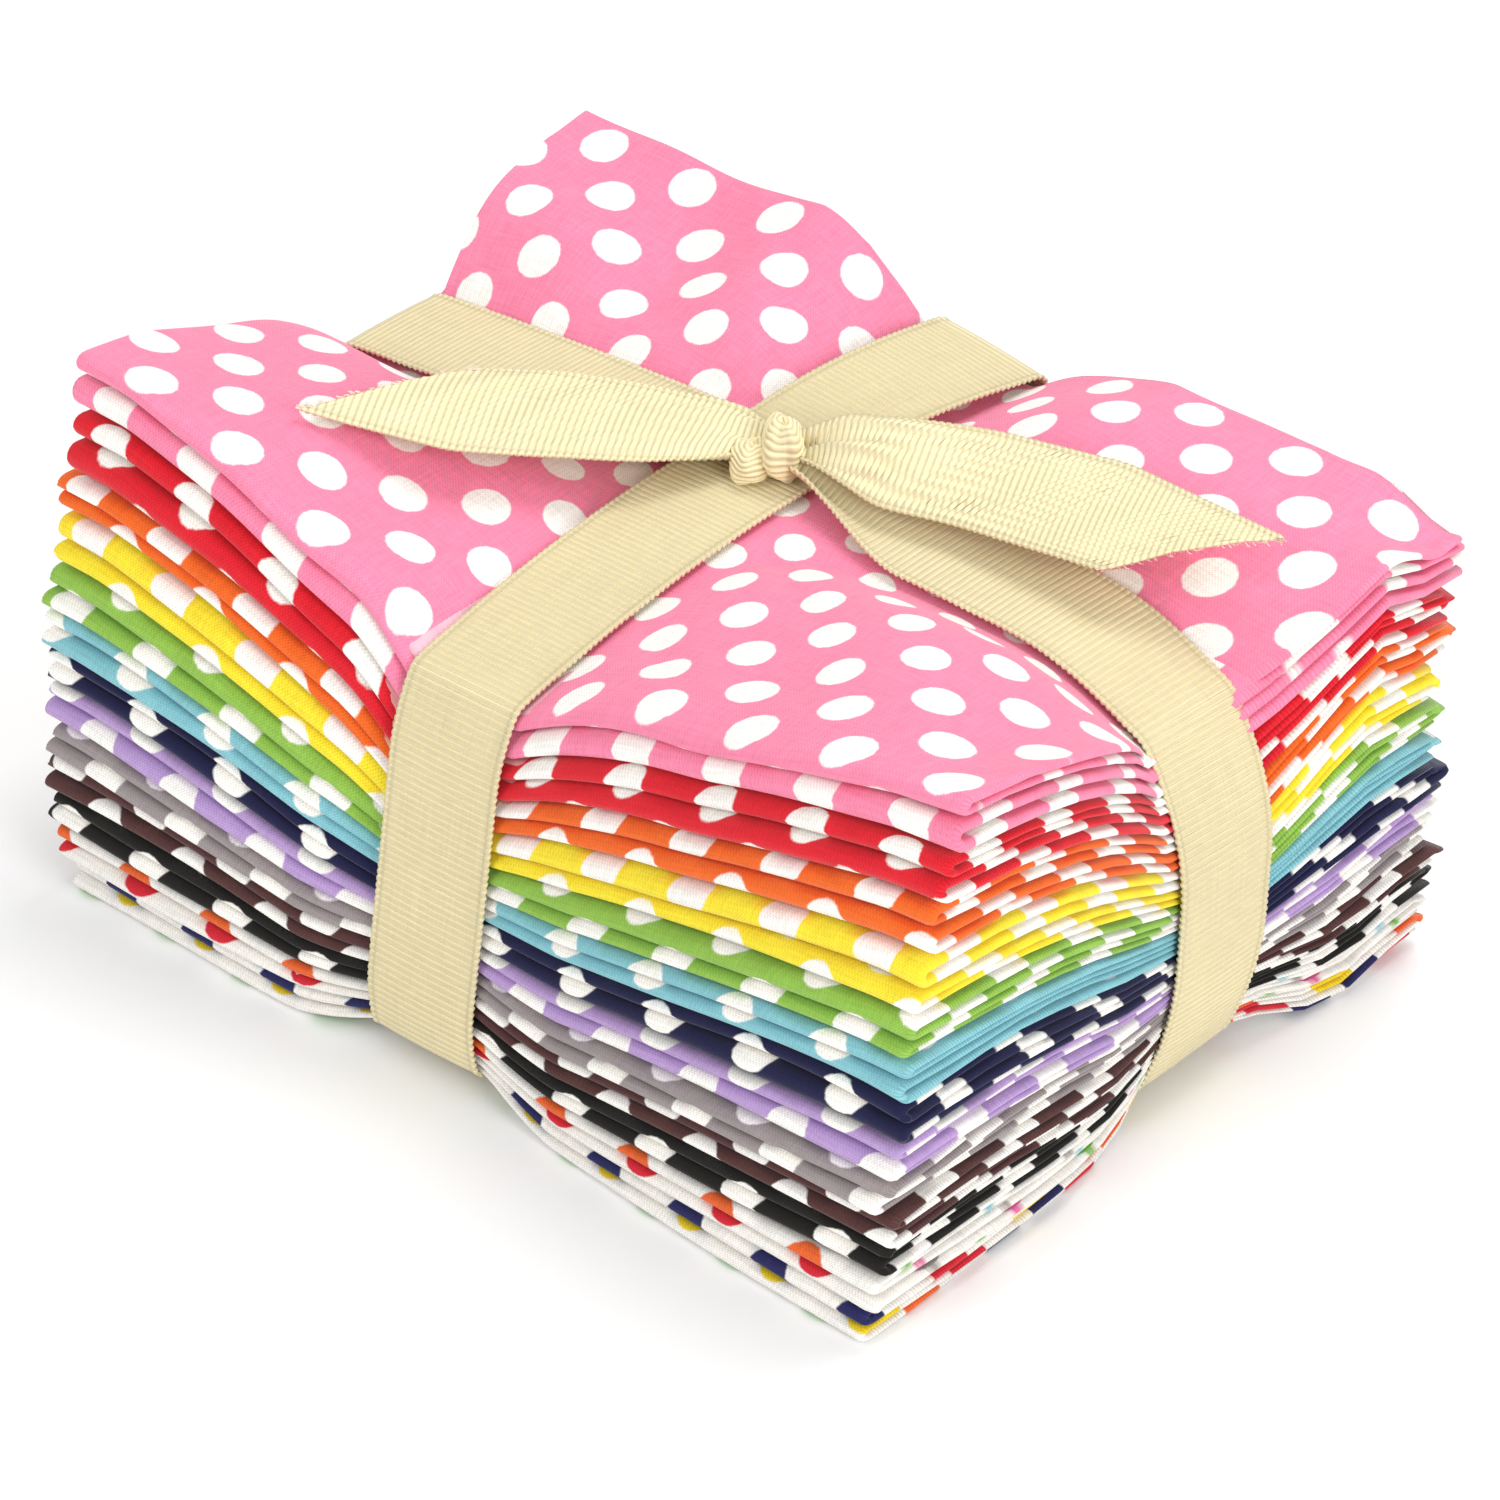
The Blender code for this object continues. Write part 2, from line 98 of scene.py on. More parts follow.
Quarter = namedtuple(
    "Quarter", "name left_high right_high upper_share front_left front_right back left right colour u0 v0"
)
QUARTERS = (
    Quarter("pink", 10.0, 11.0, 0.42, -57.0, -59.0, 67.0, -91.5, 92.0, "#F788A9", 0.8585, 0.418),
    Quarter("red", 10.5, 8.5, 0.44, -59.0, -60.5, 64.5, -91.0, 91.0, "#DC1C2C", 0.52, 0.2),
    Quarter("orange", 6.3, 8.8, 0.48, -61.0, -62.0, 66.5, -92.0, 90.5, "#EF6A22", 0.1, 0.6),
    Quarter("yellow", 8.5, 9.5, 0.58, -63.0, -64.0, 65.0, -91.5, 89.5, "#F8E133", 0.5, 0.1),
    Quarter("lime", 7.6, 7.0, 0.56, -65.0, -66.5, 66.5, -92.0, 90.0, "#90BD4E", 0.52, 0.4),
    Quarter("aqua", 6.4, 6.4, 0.47, -66.0, -68.0, 65.0, -92.0, 90.0, "#86C2CC", 0.25, 0.75),
    Quarter("navy", 6.4, 7.6, 0.44, -66.0, -68.0, 67.0, -91.5, 91.0, "#1A1A42", 0.6, 0.3),
    Quarter("lavender", 7.0, 6.4, 0.43, -67.0, -69.0, 66.5, -92.0, 89.5, "#B89ACE", 0.05, 0.5),
    Quarter("grey", 5.8, 5.6, 0.46, -68.0, -71.0, 66.0, -91.0, 89.0, "#9C9292", 0.45, 0.9),
    Quarter("brown", 6.8, 5.4, 0.52, -67.5, -70.0, 67.5, -92.0, 90.0, "#553432", 0.4, 0.05),
    Quarter("black", 5.4, 5.4, 0.48, -68.0, -71.0, 66.5, -91.0, 89.5, "#1B1915", 0.35, 0.35),
    Quarter("white_upper", 6.2, 5.4, 0.54, -68.0, -72.5, 66.0, -90.0, 89.0, "#F4F0EA", 0.07, 2.76),
    Quarter("white_lower", 6.2, 5.4, 0.52, -67.0, -73.5, 67.0, -88.0, 88.0, "#F4F0EA", 0.38, 1.71),
)

# The printed dots: a square lattice with one more dot in the middle of each cell
DOT_CELL = 18.8 * MM
DOT_RADIUS = 3.95 * MM
WEAVE_PITCH = 0.6 * MM
PINK_PRINT_SLANT = -0.0468
DOT_WHITE = "#FBF8F2"
DOT_COLOURS = ("#E8652C", "#70BCCC", "#232358", "#72B440", "#D22838", "#E0609C", "#F0D020", "#948C88")

RIBBON_COLOUR = "#F6E8BA"
RIB_PITCH = 1.2 * MM
RIB_HEIGHT = 0.19 * MM
RIB_STEPS = 5
EDGE_SHARES = np.array([-0.5, -0.487, -0.468, -0.445, -0.3, -0.1, 0.1, 0.3, 0.445, 0.468, 0.487, 0.5])

# The camera, fitted to the photograph's corners
CAMERA_AZIMUTH = math.radians(41.1)
CAMERA_ELEVATION = math.radians(33.3)
CAMERA_DISTANCE = 1.084
CAMERA_FOCUS_PIXELS = 6792
PHOTO_PIXELS = 1500
CAMERA_SIDEWAYS = 1.1 * MM
CAMERA_HEIGHT = 31.9 * MM


def mix(a, b, share):
    return a + (b - a) * share


def linear(colour):
    """A #RRGGBB colour as linear light."""
    values = [int(colour[place : place + 2], 16) / 255 for place in (1, 3, 5)]
    return [v / 12.92 if v <= 0.04045 else ((v + 0.055) / 1.055) ** 2.4 for v in values]


def pull(place, middle, reach, reach_share=1.0):
    """How strongly a band of the ribbon holds the cloth down: 1 under the band, 0 out of its reach."""
    beyond = np.abs(place - middle) - RIBBON_WIDTH / 2
    side = np.where(place < middle, reach.below, reach.above)
    return (1 - np.clip(beyond / (side * reach_share), 0, 1)) ** PULL_POWER


def smooth_step(share):
    share = np.clip(share, 0, 1)
    return share * share * (3 - 2 * share)


def back_corner(x, y):
    start_x, start_y, run = BACK_CORNER
    return smooth_step((x - start_x) / run) * smooth_step((y - start_y) / run)


# Soft swells and hollows in the top of the cloth, by their places: x, and then y and rise, in millimetres
SWELL_REACH = 11 * MM
SWELLS = (
    (-84, ((-39, -1.3), (-26, -1.1), (-11, 3), (39, 1.8), (52, -3.4), (66, 0.5))),
    (-70, ((-52, -0.7), (-39, -3.2), (-26, -0.6), (-11, 1.5), (26, 1.2), (39, 2.4), (52, -3.9), (66, 1.5))),
    (-56, ((-39, -1.1), (39, -3.5), (52, -6), (66, 1))),
    (-42, ((-52, -0.6), (-39, -2.4), (-26, -3.6), (26, 1.1), (39, -1), (52, -3), (66, 1.5))),
    (-28, ((-52, 2.6), (-26, -1.4), (39, 1.5), (64, 2.5))),
    (14, ((-13, 1.3),)),
    (28, ((-61, -2.2), (-52, 1), (-39, -0.9), (-26, -1.5), (-13, 0.5), (39, 0.7), (65, -2.4))),
    (42, ((-61, -2.9), (-52, -0.7), (-39, -2.9), (-26, -1.1), (-13, 1.4), (39, 0.9), (52, -1.5), (65, -1.8))),
    (56, ((-61, -2.6), (-52, -0.6), (-39, -1.8), (-13, 2.4), (39, 0.9), (52, -1.8), (65, -1.1))),
    (70, ((-61, -1.8), (-52, -1.3), (-39, -1.7), (-13, 1.7), (52, -3), (65, -1.2))),
    (84, ((-52, -1.5), (-39, -3.4), (-26, -1.4), (39, -0.9), (52, -3.2), (65, -0.9))),
)

# Soft creases in the top of the cloth: from, to, half width and depth, in millimetres
Crease = namedtuple("Crease", "x1 y1 x2 y2 half_width depth")
CREASES = (
    Crease(-16, 28, -44, 62, 3.0, -1.2),
    Crease(-24, 24, -62, 40, 3.0, -0.8),
    Crease(-19, -14, -36, -44, 3.5, -0.7),
    Crease(6, -2, 40, -26, 3.0, -0.9),
    Crease(5, -30, 34, -50, 3.0, -0.8),
    Crease(24, 28, 70, 44, 3.5, 0.6),
)


def creases(x, y):
    depth = np.zeros(np.broadcast(x, y).shape)
    for c in CREASES:
        run = np.array([c.x2 - c.x1, c.y2 - c.y1]) * MM
        length = math.hypot(*run)
        along = ((x - c.x1 * MM) * run[0] + (y - c.y1 * MM) * run[1]) / length**2
        away = ((x - c.x1 * MM) * run[1] - (y - c.y1 * MM) * run[0]) / length
        fade = smooth_step(along * 4 + 0.4) * smooth_step((1.1 - along) * 2)
        depth += c.depth * MM * fade * np.exp(-((away / (c.half_width * MM)) ** 2))
    return depth


def swells(x, y):
    rise = np.zeros(np.broadcast(x, y).shape)
    for swell_x, places in SWELLS:
        for swell_y, high in places:
            away = (x - swell_x * MM) ** 2 + (y - swell_y * MM) ** 2
            rise += high * MM * np.exp(-away / SWELL_REACH**2)
    return rise


def ripple(a, b, seed, wavelength):
    """Slow uneven waves between about -1 and 1."""
    rng = np.random.default_rng(seed)
    total = 0
    for _ in range(5):
        angle, phase = rng.uniform(0, 2 * math.pi, 2)
        wave = 2 * math.pi / (wavelength * rng.uniform(0.7, 1.6))
        total = total + np.sin(wave * (a * math.cos(angle) + b * math.sin(angle)) + phase)
    return total / 3


def ribbon_middle(y):
    """Where the band over the folds runs: straight at the front, further right towards the back."""
    return RIBBON_X + BACK_DRIFT * smooth_step((y - RIBBON_Y) / (BAND_BACK - RIBBON_Y))


def stack_top(x, y):
    share_x = (x + HALF_LENGTH) / (2 * HALF_LENGTH)
    share_y = (y + HALF_DEPTH) / (2 * HALF_DEPTH)
    corner = mix(
        mix(CORNER_TOPS.left_front, CORNER_TOPS.right_front, share_x),
        mix(CORNER_TOPS.left_back, CORNER_TOPS.right_back, share_x),
        share_y,
    )
    across = pull(x, ribbon_middle(y), REACH_X, mix(1.0, BACK_REACH_SHARE, np.clip(share_y, 0, 1)))
    along = pull(y, RIBBON_Y, REACH_Y)
    from_crossing = (y - RIBBON_Y) / HALF_DEPTH
    drop = np.where(from_crossing < 0, BAND_DROP_AT_FRONT, BAND_DROP_AT_BACK)
    band = CROSSING_TOP - drop * from_crossing**2 * across
    shoulder = SHOULDER_DROP * smooth_step((x - SHOULDER_START) / SHOULDER_RUN) ** 2
    band = band - (BAND_DROP_AT_SIDES * (x / HALF_LENGTH) ** 2 + shoulder) * along
    together = (across**BANDS_TOGETHER + along**BANDS_TOGETHER) ** (1 / BANDS_TOGETHER)
    top = mix(corner, band, np.minimum(together, 1.0))
    return top - BACK_CORNER_DROP * back_corner(x, y)


def stack_bottom(x, y):
    narrow = Reach(ARCH_REACH, ARCH_REACH)
    clear = (1 - pull(x, RIBBON_X, narrow)) * (1 - pull(y, RIBBON_Y, narrow))
    return ARCH * (1 - clear) + BACK_CORNER_LIFT * back_corner(x, y)


def cloth_top(x, y, level=1.0):
    """The height of the topmost cloth, with the swells and creases that fade out down the stack."""
    beside = Reach(12 * MM, 12 * MM)
    free = 1 - np.maximum(pull(x, ribbon_middle(y), beside), pull(y, RIBBON_Y, beside))
    return stack_top(x, y) + (swells(x, y) * level + creases(x, y) * level**3) * free


def stack_place(x, y, level):
    return mix(stack_bottom(x, y), cloth_top(x, y, level), level)


def rounded_in(z, top, edge=SHARP_EDGE):
    over = np.clip((z - top + edge.top_height) / edge.top_height, 0, 1)
    under = np.clip((ARCH + edge.foot_height - z) / edge.foot_height, 0, 1)
    return edge.top_in * over**2 + edge.foot_in * under**2


def band_front(z, top):
    share = np.clip(z / CROSSING_TOP, 0, 1)
    return mix(BAND_FRONT_AT_FLOOR, BAND_FRONT_AT_TOP, share) + rounded_in(z, top)


def band_back(z, top):
    return BAND_BACK - rounded_in(z, top)


def band_left(z, top):
    return BAND_LEFT + rounded_in(z, top)


def band_right(z, top):
    return BAND_RIGHT - rounded_in(z, top, SOFT_EDGE)


def quarter_level(index, x, layers):
    """The stack level, from 0 to 1, of a number of layers up in a quarter."""
    share_x = (x + HALF_LENGTH) / (2 * HALF_LENGTH)
    heights = [mix(q.left_high, q.right_high, share_x) for q in QUARTERS]
    upper = QUARTERS[index].upper_share
    layers = layers * LAYERS_SHARE
    share = np.where(layers <= 2, (1 - upper) * layers / 2, 1 - upper + upper * (layers - 2) / 2)
    return (sum(heights[index + 1 :]) + heights[index] * share) / sum(heights)


Column = namedtuple("Column", "share side turn cloth")
Row = namedtuple("Row", "share layer turn_y turn_height nesting cloth")


def columns_of(shown, top_count, other_count, fold_count):
    """The sheet's section along X: a tucked ply, the ply that shows, and a ply folded back under it.

    share runs from the left end to the right one, side from -1 for the ply that shows to 1 for the innermost.
    """
    tucked = CLOTH_LENGTH - 2 * shown
    start = tucked / shown
    found = [Column(s, 0.0, 0.0, tucked * (1 - s / start)) for s in np.linspace(start, 0.0, other_count)]
    for turn in np.linspace(0, math.pi, fold_count + 2)[1:-1]:
        found.append(Column(0.0, -0.5 + 0.5 * math.cos(turn), -0.5 * math.sin(turn), tucked))
    found += [Column(s, -1.0, 0.0, tucked + shown * s) for s in np.linspace(0, 1, top_count)]
    for turn in np.linspace(0, math.pi, fold_count + 2)[1:-1]:
        found.append(Column(1.0, -math.cos(turn), math.sin(turn), tucked + shown))
    folded = np.linspace(1.0, 0.015, other_count)
    found += [Column(s, 1.0, 0.0, tucked + shown * (2 - s)) for s in folded]
    return found


def rows_of(top_count, other_count, fold_count):
    """The sheet's section along Y: four passes joined by three folds, the first and last at the front."""
    found = []
    run = (CLOTH_WIDTH - 3 * FOLD_CLOTH) / PASSES
    cloth = 0.0
    for number in range(PASSES):
        shares = np.linspace(0, 1, top_count if number == PASSES - 1 else other_count)
        nesting = -1 if number % 2 else 1
        for s in shares:
            place = s if number % 2 else 1 - s
            found.append(Row(place, number + 0.5, 0.0, 0.0, nesting, cloth + run * s))
        cloth += run
        if number == PASSES - 1:
            break
        outward = 1 if number % 2 else -1
        for turn in np.linspace(0, math.pi, fold_count + 2)[1:-1]:
            place = 1.0 if number % 2 else 0.0
            found.append(
                Row(place, number + 1.0, outward * math.sin(turn), -math.cos(turn), 0, cloth + FOLD_CLOTH * turn / math.pi)
            )
        cloth += FOLD_CLOTH
    return found


def quarter_points(index, columns, rows):
    """Where each point of the folded sheet lies in the tied stack."""
    quarter = QUARTERS[index]
    side = np.array([c.side for c in columns])[None, :]
    turn_x = np.array([c.turn for c in columns])[None, :]
    share_x = np.array([c.share for c in columns])[None, :]
    share_y = np.array([r.share for r in rows])[:, None]
    layer = np.array([r.layer for r in rows])[:, None]
    turn_y = np.array([r.turn_y for r in rows])[:, None]
    turn_height = np.array([r.turn_height for r in rows])[:, None]
    nesting = np.array([r.nesting for r in rows])[:, None]
    outward = np.sign(turn_y)
    radius = 0.5 + outward * side / 3
    straight = nesting != 0
    layers = np.where(straight, layer + nesting * side / 3, layer + radius * turn_height)
    reach_y = np.where(straight, 0.0, radius * turn_y) * FOLD_REACH

    x_flat = mix(-HALF_LENGTH, HALF_LENGTH, share_x)
    y_flat = mix(BED_FRONT, BED_BACK, share_y)
    level = quarter_level(index, x_flat, layers)
    z = stack_place(x_flat, y_flat, level)
    top = stack_top(x_flat, y_flat)
    hold_x = pull(x_flat, RIBBON_X, REACH_X) ** 2
    upper = (layers > 2) * 1.0
    wander = ripple(x_flat, upper * 0.4, 100 + index, 70 * MM) * (1 - hold_x)
    loose_front = mix(quarter.front_left, quarter.front_right, share_x) * MM
    loose_front = loose_front + wander * 0.7 * MM + (upper * 0.9 + 0.2) * MM * (1 - hold_x)
    loose_back = quarter.back * MM + wander * 0.9 * MM - upper * 1.2 * MM
    front = mix(loose_front, band_front(z, top), hold_x) + 0.833 * FOLD_REACH
    back = mix(loose_back, band_back(z, top), hold_x) - 0.833 * FOLD_REACH
    y = mix(front, back, share_y) + reach_y

    hold_y = pull(y, RIBBON_Y, REACH_Y) ** 2
    turn_number = np.floor(layers)
    sway = ripple(y, turn_number * 0.37, 300 + index, 60 * MM) * (1 - hold_y)
    step = ripple(turn_number * 0.9, index * 0.7, 500, 1.0)
    left = mix(quarter.left * MM + sway * 0.6 * MM + 0.6 * MM, band_left(z, top), hold_y)
    right = mix(quarter.right * MM + sway * 0.7 * MM - (0.6 + 0.7 * step) * MM, band_right(z, top), hold_y)
    x = mix(left + END_REACH, right - END_REACH, share_x) + turn_x * END_REACH
    level = quarter_level(index, x, layers)
    z = stack_place(x, y, level)
    return np.stack([x, y + CENTRING, z + 0 * x], axis=-1)


def arc_lengths(line):
    return np.concatenate([[0], np.cumsum(np.linalg.norm(np.diff(line, axis=0), axis=1))])


def slid(line, places):
    """The line's points moved along it to these places, counted in points."""
    known = np.arange(len(line))
    return np.stack([np.interp(places, known, line[:, k]) for k in range(3)], axis=1)


def evened(line):
    lengths = arc_lengths(line)
    return slid(line, np.interp(np.linspace(0, lengths[-1], len(line)), lengths, np.arange(len(line))))


def spread_evenly(points, rows, columns):
    """Slides the top ply's points along its surface until the cloth is stretched the same all over.

    The folds beside it slide along with its edges, and the plies below them less and less.
    """
    patch = points[np.ix_(rows, columns)]
    edges = [patch[0], patch[:, 0], patch[:, -1]]
    for _ in range(3):
        patch = np.array([evened(line) for line in patch])
        patch = np.array([evened(line) for line in patch.transpose(1, 0, 2)]).transpose(1, 0, 2)
    points[np.ix_(rows, columns)] = patch
    moved = []
    for before, after in zip(edges, (patch[0], patch[:, 0], patch[:, -1])):
        lengths = arc_lengths(before)
        known = np.arange(len(before))
        moved.append(np.interp(arc_lengths(after) * lengths[-1] / arc_lengths(after)[-1], lengths, known))
    rigid, fade = 9, 8
    for step in range(1, rigid + fade):
        share = 1 - max(step - rigid, 0) / fade
        row = rows[0] - step
        places = mix(np.arange(len(columns)), moved[0], share)
        points[row, columns] = slid(points[row, columns], places)
        for column, places in ((columns[0] - step, moved[1]), (columns[-1] + step, moved[2])):
            places = mix(np.arange(len(rows)), places, share)
            points[rows, column] = slid(points[rows, column], places)


def add_mesh(name, points, cloth, materials):
    """A grid of points as a mesh, with the flat cloth's own coordinates as its UV map, in metres."""
    rows, columns, _ = points.shape
    index = np.arange(rows * columns).reshape(rows, columns)
    corners = (index[:-1, :-1], index[:-1, 1:], index[1:, 1:], index[1:, :-1])
    faces = np.stack([c.ravel() for c in corners], axis=1)
    mesh = bpy.data.meshes.new(name)
    mesh.from_pydata(points.reshape(-1, 3).tolist(), [], faces.tolist())
    uv = mesh.uv_layers.new(name="cloth")
    uv.data.foreach_set("uv", cloth.reshape(-1, 2)[faces.ravel()].astype(np.float32).ravel())
    for material in materials:
        mesh.materials.append(material)
    mesh.shade_smooth()
    obj = bpy.data.objects.new(name, mesh)
    bpy.context.scene.collection.objects.link(obj)
    return obj


def made_real(obj):
    """Turns the object's modifiers into its own mesh."""
    graph = bpy.context.evaluated_depsgraph_get()
    mesh = bpy.data.meshes.new_from_object(obj.evaluated_get(graph))
    obj.modifiers.clear()
    old = obj.data
    obj.data = mesh
    if not old.users:
        bpy.data.meshes.remove(old)
    return obj


def thicken(obj, thickness, back_slot=0, rim_slot=0):
    wall = obj.modifiers.new("Thickness", "SOLIDIFY")
    wall.thickness = thickness
    wall.offset = -1
    wall.use_even_offset = False
    wall.material_offset = back_slot
    wall.material_offset_rim = rim_slot
    return made_real(obj)


class Shading:
    """Adds the nodes of one material, with short calls for sums."""

    def __init__(self, name, roughness):
        self.material = bpy.data.materials.new(name)
        self.material.use_nodes = True
        self.nodes = self.material.node_tree.nodes
        self.links = self.material.node_tree.links
        self.shader = self.nodes["Principled BSDF"]
        self.shader.inputs["Roughness"].default_value = roughness

    def put(self, socket, value):
        if isinstance(value, bpy.types.NodeSocket):
            self.links.new(value, socket)
        elif isinstance(value, (list, tuple)):
            socket.default_value = (*value, 1) if len(value) == 3 and socket.type == "RGBA" else value
        else:
            socket.default_value = value

    def sum(self, operation, a, b=0.0, clamp=False):
        node = self.nodes.new("ShaderNodeMath")
        node.operation = operation
        node.use_clamp = clamp
        self.put(node.inputs[0], a)
        self.put(node.inputs[1], b)
        return node.outputs[0]

    def blend(self, a, b, share, kind="MIX"):
        node = self.nodes.new("ShaderNodeMix")
        node.data_type = "RGBA"
        node.blend_type = kind
        self.put(node.inputs[0], share)
        self.put(node.inputs[6], a)
        self.put(node.inputs[7], b)
        return node.outputs[2]

    def range(self, value, low, high, to_low=0.0, to_high=1.0):
        node = self.nodes.new("ShaderNodeMapRange")
        node.interpolation_type = "SMOOTHSTEP"
        for socket, given in zip(node.inputs, (value, low, high, to_low, to_high)):
            self.put(socket, given)
        return node.outputs[0]

    def cloth_coordinates(self):
        place = self.nodes.new("ShaderNodeUVMap")
        place.uv_map = "cloth"
        parts = self.nodes.new("ShaderNodeSeparateXYZ")
        self.links.new(place.outputs[0], parts.inputs[0])
        return place.outputs[0], parts.outputs[0], parts.outputs[1]

    def noise(self, vector, scale, detail=2.0, roughness=0.5):
        node = self.nodes.new("ShaderNodeTexNoise")
        self.put(node.inputs["Vector"], vector)
        self.put(node.inputs["Scale"], scale)
        self.put(node.inputs["Detail"], detail)
        self.put(node.inputs["Roughness"], roughness)
        return node.outputs[0]

    def stretched(self, vector, scale):
        node = self.nodes.new("ShaderNodeMapping")
        self.put(node.inputs["Vector"], vector)
        node.inputs["Scale"].default_value = scale
        return node.outputs[0]

    def bump(self, height, distance, strength=1.0):
        node = self.nodes.new("ShaderNodeBump")
        node.inputs["Distance"].default_value = distance
        node.inputs["Strength"].default_value = strength
        self.put(node.inputs["Height"], height)
        self.links.new(node.outputs[0], self.shader.inputs["Normal"])


def threads(s, u, v, pitch):
    """The rise and fall of a plain weave, between 0 and 1, from the cloth's own coordinates."""
    across = s.sum("SINE", s.sum("MULTIPLY", u, 2 * math.pi / pitch))
    along = s.sum("SINE", s.sum("MULTIPLY", v, 2 * math.pi / pitch))
    return s.sum("MULTIPLY_ADD", s.sum("MULTIPLY", across, along), 0.5)


def from_dot(s, across, along):
    """Distance to the middle of the lattice cell, in cells."""
    x = s.sum("SUBTRACT", s.sum("FRACT", across), 0.5)
    y = s.sum("SUBTRACT", s.sum("FRACT", along), 0.5)
    squared = s.sum("ADD", s.sum("MULTIPLY", x, x), s.sum("MULTIPLY", y, y))
    return s.sum("SQRT", squared)


def cotton_print(quarter, many_colours):
    """Plain-weave cotton printed with dots on one side."""
    s = Shading("cotton_" + quarter.name, 0.82)
    vector, u, v = s.cloth_coordinates()
    waver = s.noise(vector, 900.0, 1.0)
    waver = s.sum("MULTIPLY", s.sum("SUBTRACT", waver, 0.5), 0.02)
    slant = PINK_PRINT_SLANT if quarter.name == "pink" else 0.0
    slanted = s.sum("ADD", u, s.sum("MULTIPLY", v, slant))
    a = s.sum("ADD", s.sum("DIVIDE", slanted, DOT_CELL), quarter.u0)
    b = s.sum("ADD", s.sum("DIVIDE", v, DOT_CELL), quarter.v0)
    first = from_dot(s, a, b)
    a_half = s.sum("ADD", a, 0.5)
    b_half = s.sum("ADD", b, 0.5)
    second = from_dot(s, a_half, b_half)
    nearest = s.sum("ADD", s.sum("MINIMUM", first, second), waver)
    radius = DOT_RADIUS / DOT_CELL
    dot = s.range(nearest, radius - 0.012, radius + 0.012, 1.0, 0.0)
    ground = linear(quarter.colour)
    slow = s.noise(s.stretched(vector, (14, 14, 14)), 1.0, 2.0)
    threadwise = s.noise(s.stretched(vector, (2300, 180, 1)), 1.0, 1.0)
    threadways = s.noise(s.stretched(vector, (180, 2300, 1)), 1.0, 1.0)
    uneven = s.sum("ADD", s.sum("ADD", threadwise, threadways), s.sum("MULTIPLY", slow, 0.5))
    shade = s.range(uneven, 0.7, 1.8, 0.86, 1.12)
    dot_colour = linear(DOT_WHITE)
    if many_colours:
        is_first = s.sum("LESS_THAN", first, second)
        row = s.sum("ADD", s.sum("MULTIPLY", s.sum("FLOOR", b), 2.0), 1.0)
        other_row = s.sum("MULTIPLY", s.sum("FLOOR", b_half), 2.0)
        chosen = s.sum("ADD", s.sum("MULTIPLY", is_first, row), s.sum("MULTIPLY", s.sum("SUBTRACT", 1.0, is_first), other_row))
        spread = s.sum("FRACT", s.sum("DIVIDE", s.sum("ADD", s.sum("MULTIPLY", chosen, 3.0), 0.5), len(DOT_COLOURS)))
        ramp = s.nodes.new("ShaderNodeValToRGB")
        ramp.color_ramp.interpolation = "CONSTANT"
        for number, colour in enumerate(DOT_COLOURS):
            stops = ramp.color_ramp.elements
            stop = stops[number] if number < 2 else stops.new(number / len(DOT_COLOURS))
            stop.position = number / len(DOT_COLOURS)
            stop.color = (*linear(colour), 1)
        s.put(ramp.inputs[0], spread)
        dot_colour = ramp.outputs[0]
    colour = s.blend(ground, dot_colour, dot)
    weave = threads(s, u, v, WEAVE_PITCH)
    weave_shade = s.range(weave, -0.5, 1.5, 0.76, 1.14)
    grey = s.sum("MULTIPLY", shade, weave_shade)
    tint = s.nodes.new("ShaderNodeCombineXYZ")
    for socket in tint.inputs:
        s.put(socket, grey)
    s.put(s.shader.inputs["Base Color"], s.blend(colour, tint.outputs[0], 1.0, "MULTIPLY"))
    s.shader.inputs["Specular IOR Level"].default_value = 0.25
    s.shader.inputs["Sheen Weight"].default_value = 0.18
    s.shader.inputs["Sheen Roughness"].default_value = 0.45
    s.bump(s.sum("ADD", weave, s.sum("MULTIPLY", uneven, 0.6)), 0.06 * MM, 0.55)
    return s.material


def cotton_reverse(quarter):
    """The unprinted side, where the ground's colour shows through paler."""
    s = Shading("reverse_" + quarter.name, 0.9)
    vector, u, v = s.cloth_coordinates()
    ground = linear(quarter.colour)
    pale = [mix(c, 0.85, 0.42) for c in ground]
    uneven = s.noise(s.stretched(vector, (160, 160, 1)), 1.0, 3.0)
    s.put(s.shader.inputs["Base Color"], s.blend(pale, [c * 0.82 for c in pale], s.range(uneven, 0.35, 0.7)))
    s.shader.inputs["Specular IOR Level"].default_value = 0.2
    s.bump(threads(s, u, v, WEAVE_PITCH), 0.06 * MM, 0.5)
    return s.material


def cotton_edge(quarter):
    """The cut edge's fuzzy thread ends."""
    s = Shading("cut_edge_" + quarter.name, 0.95)
    vector, _, _ = s.cloth_coordinates()
    ground = linear(quarter.colour)
    tufts = s.noise(s.stretched(vector, (1200, 1200, 1)), 1.0, 1.0)
    s.put(s.shader.inputs["Base Color"], s.blend(ground, [mix(c, 0.9, 0.6) for c in ground], s.range(tufts, 0.35, 0.65)))
    s.bump(tufts, 0.1 * MM, 0.6)
    return s.material


def thread_cotton(name, colour):
    s = Shading(name, 0.9)
    s.put(s.shader.inputs["Base Color"], linear(colour))
    s.shader.inputs["Specular IOR Level"].default_value = 0.2
    return s.material


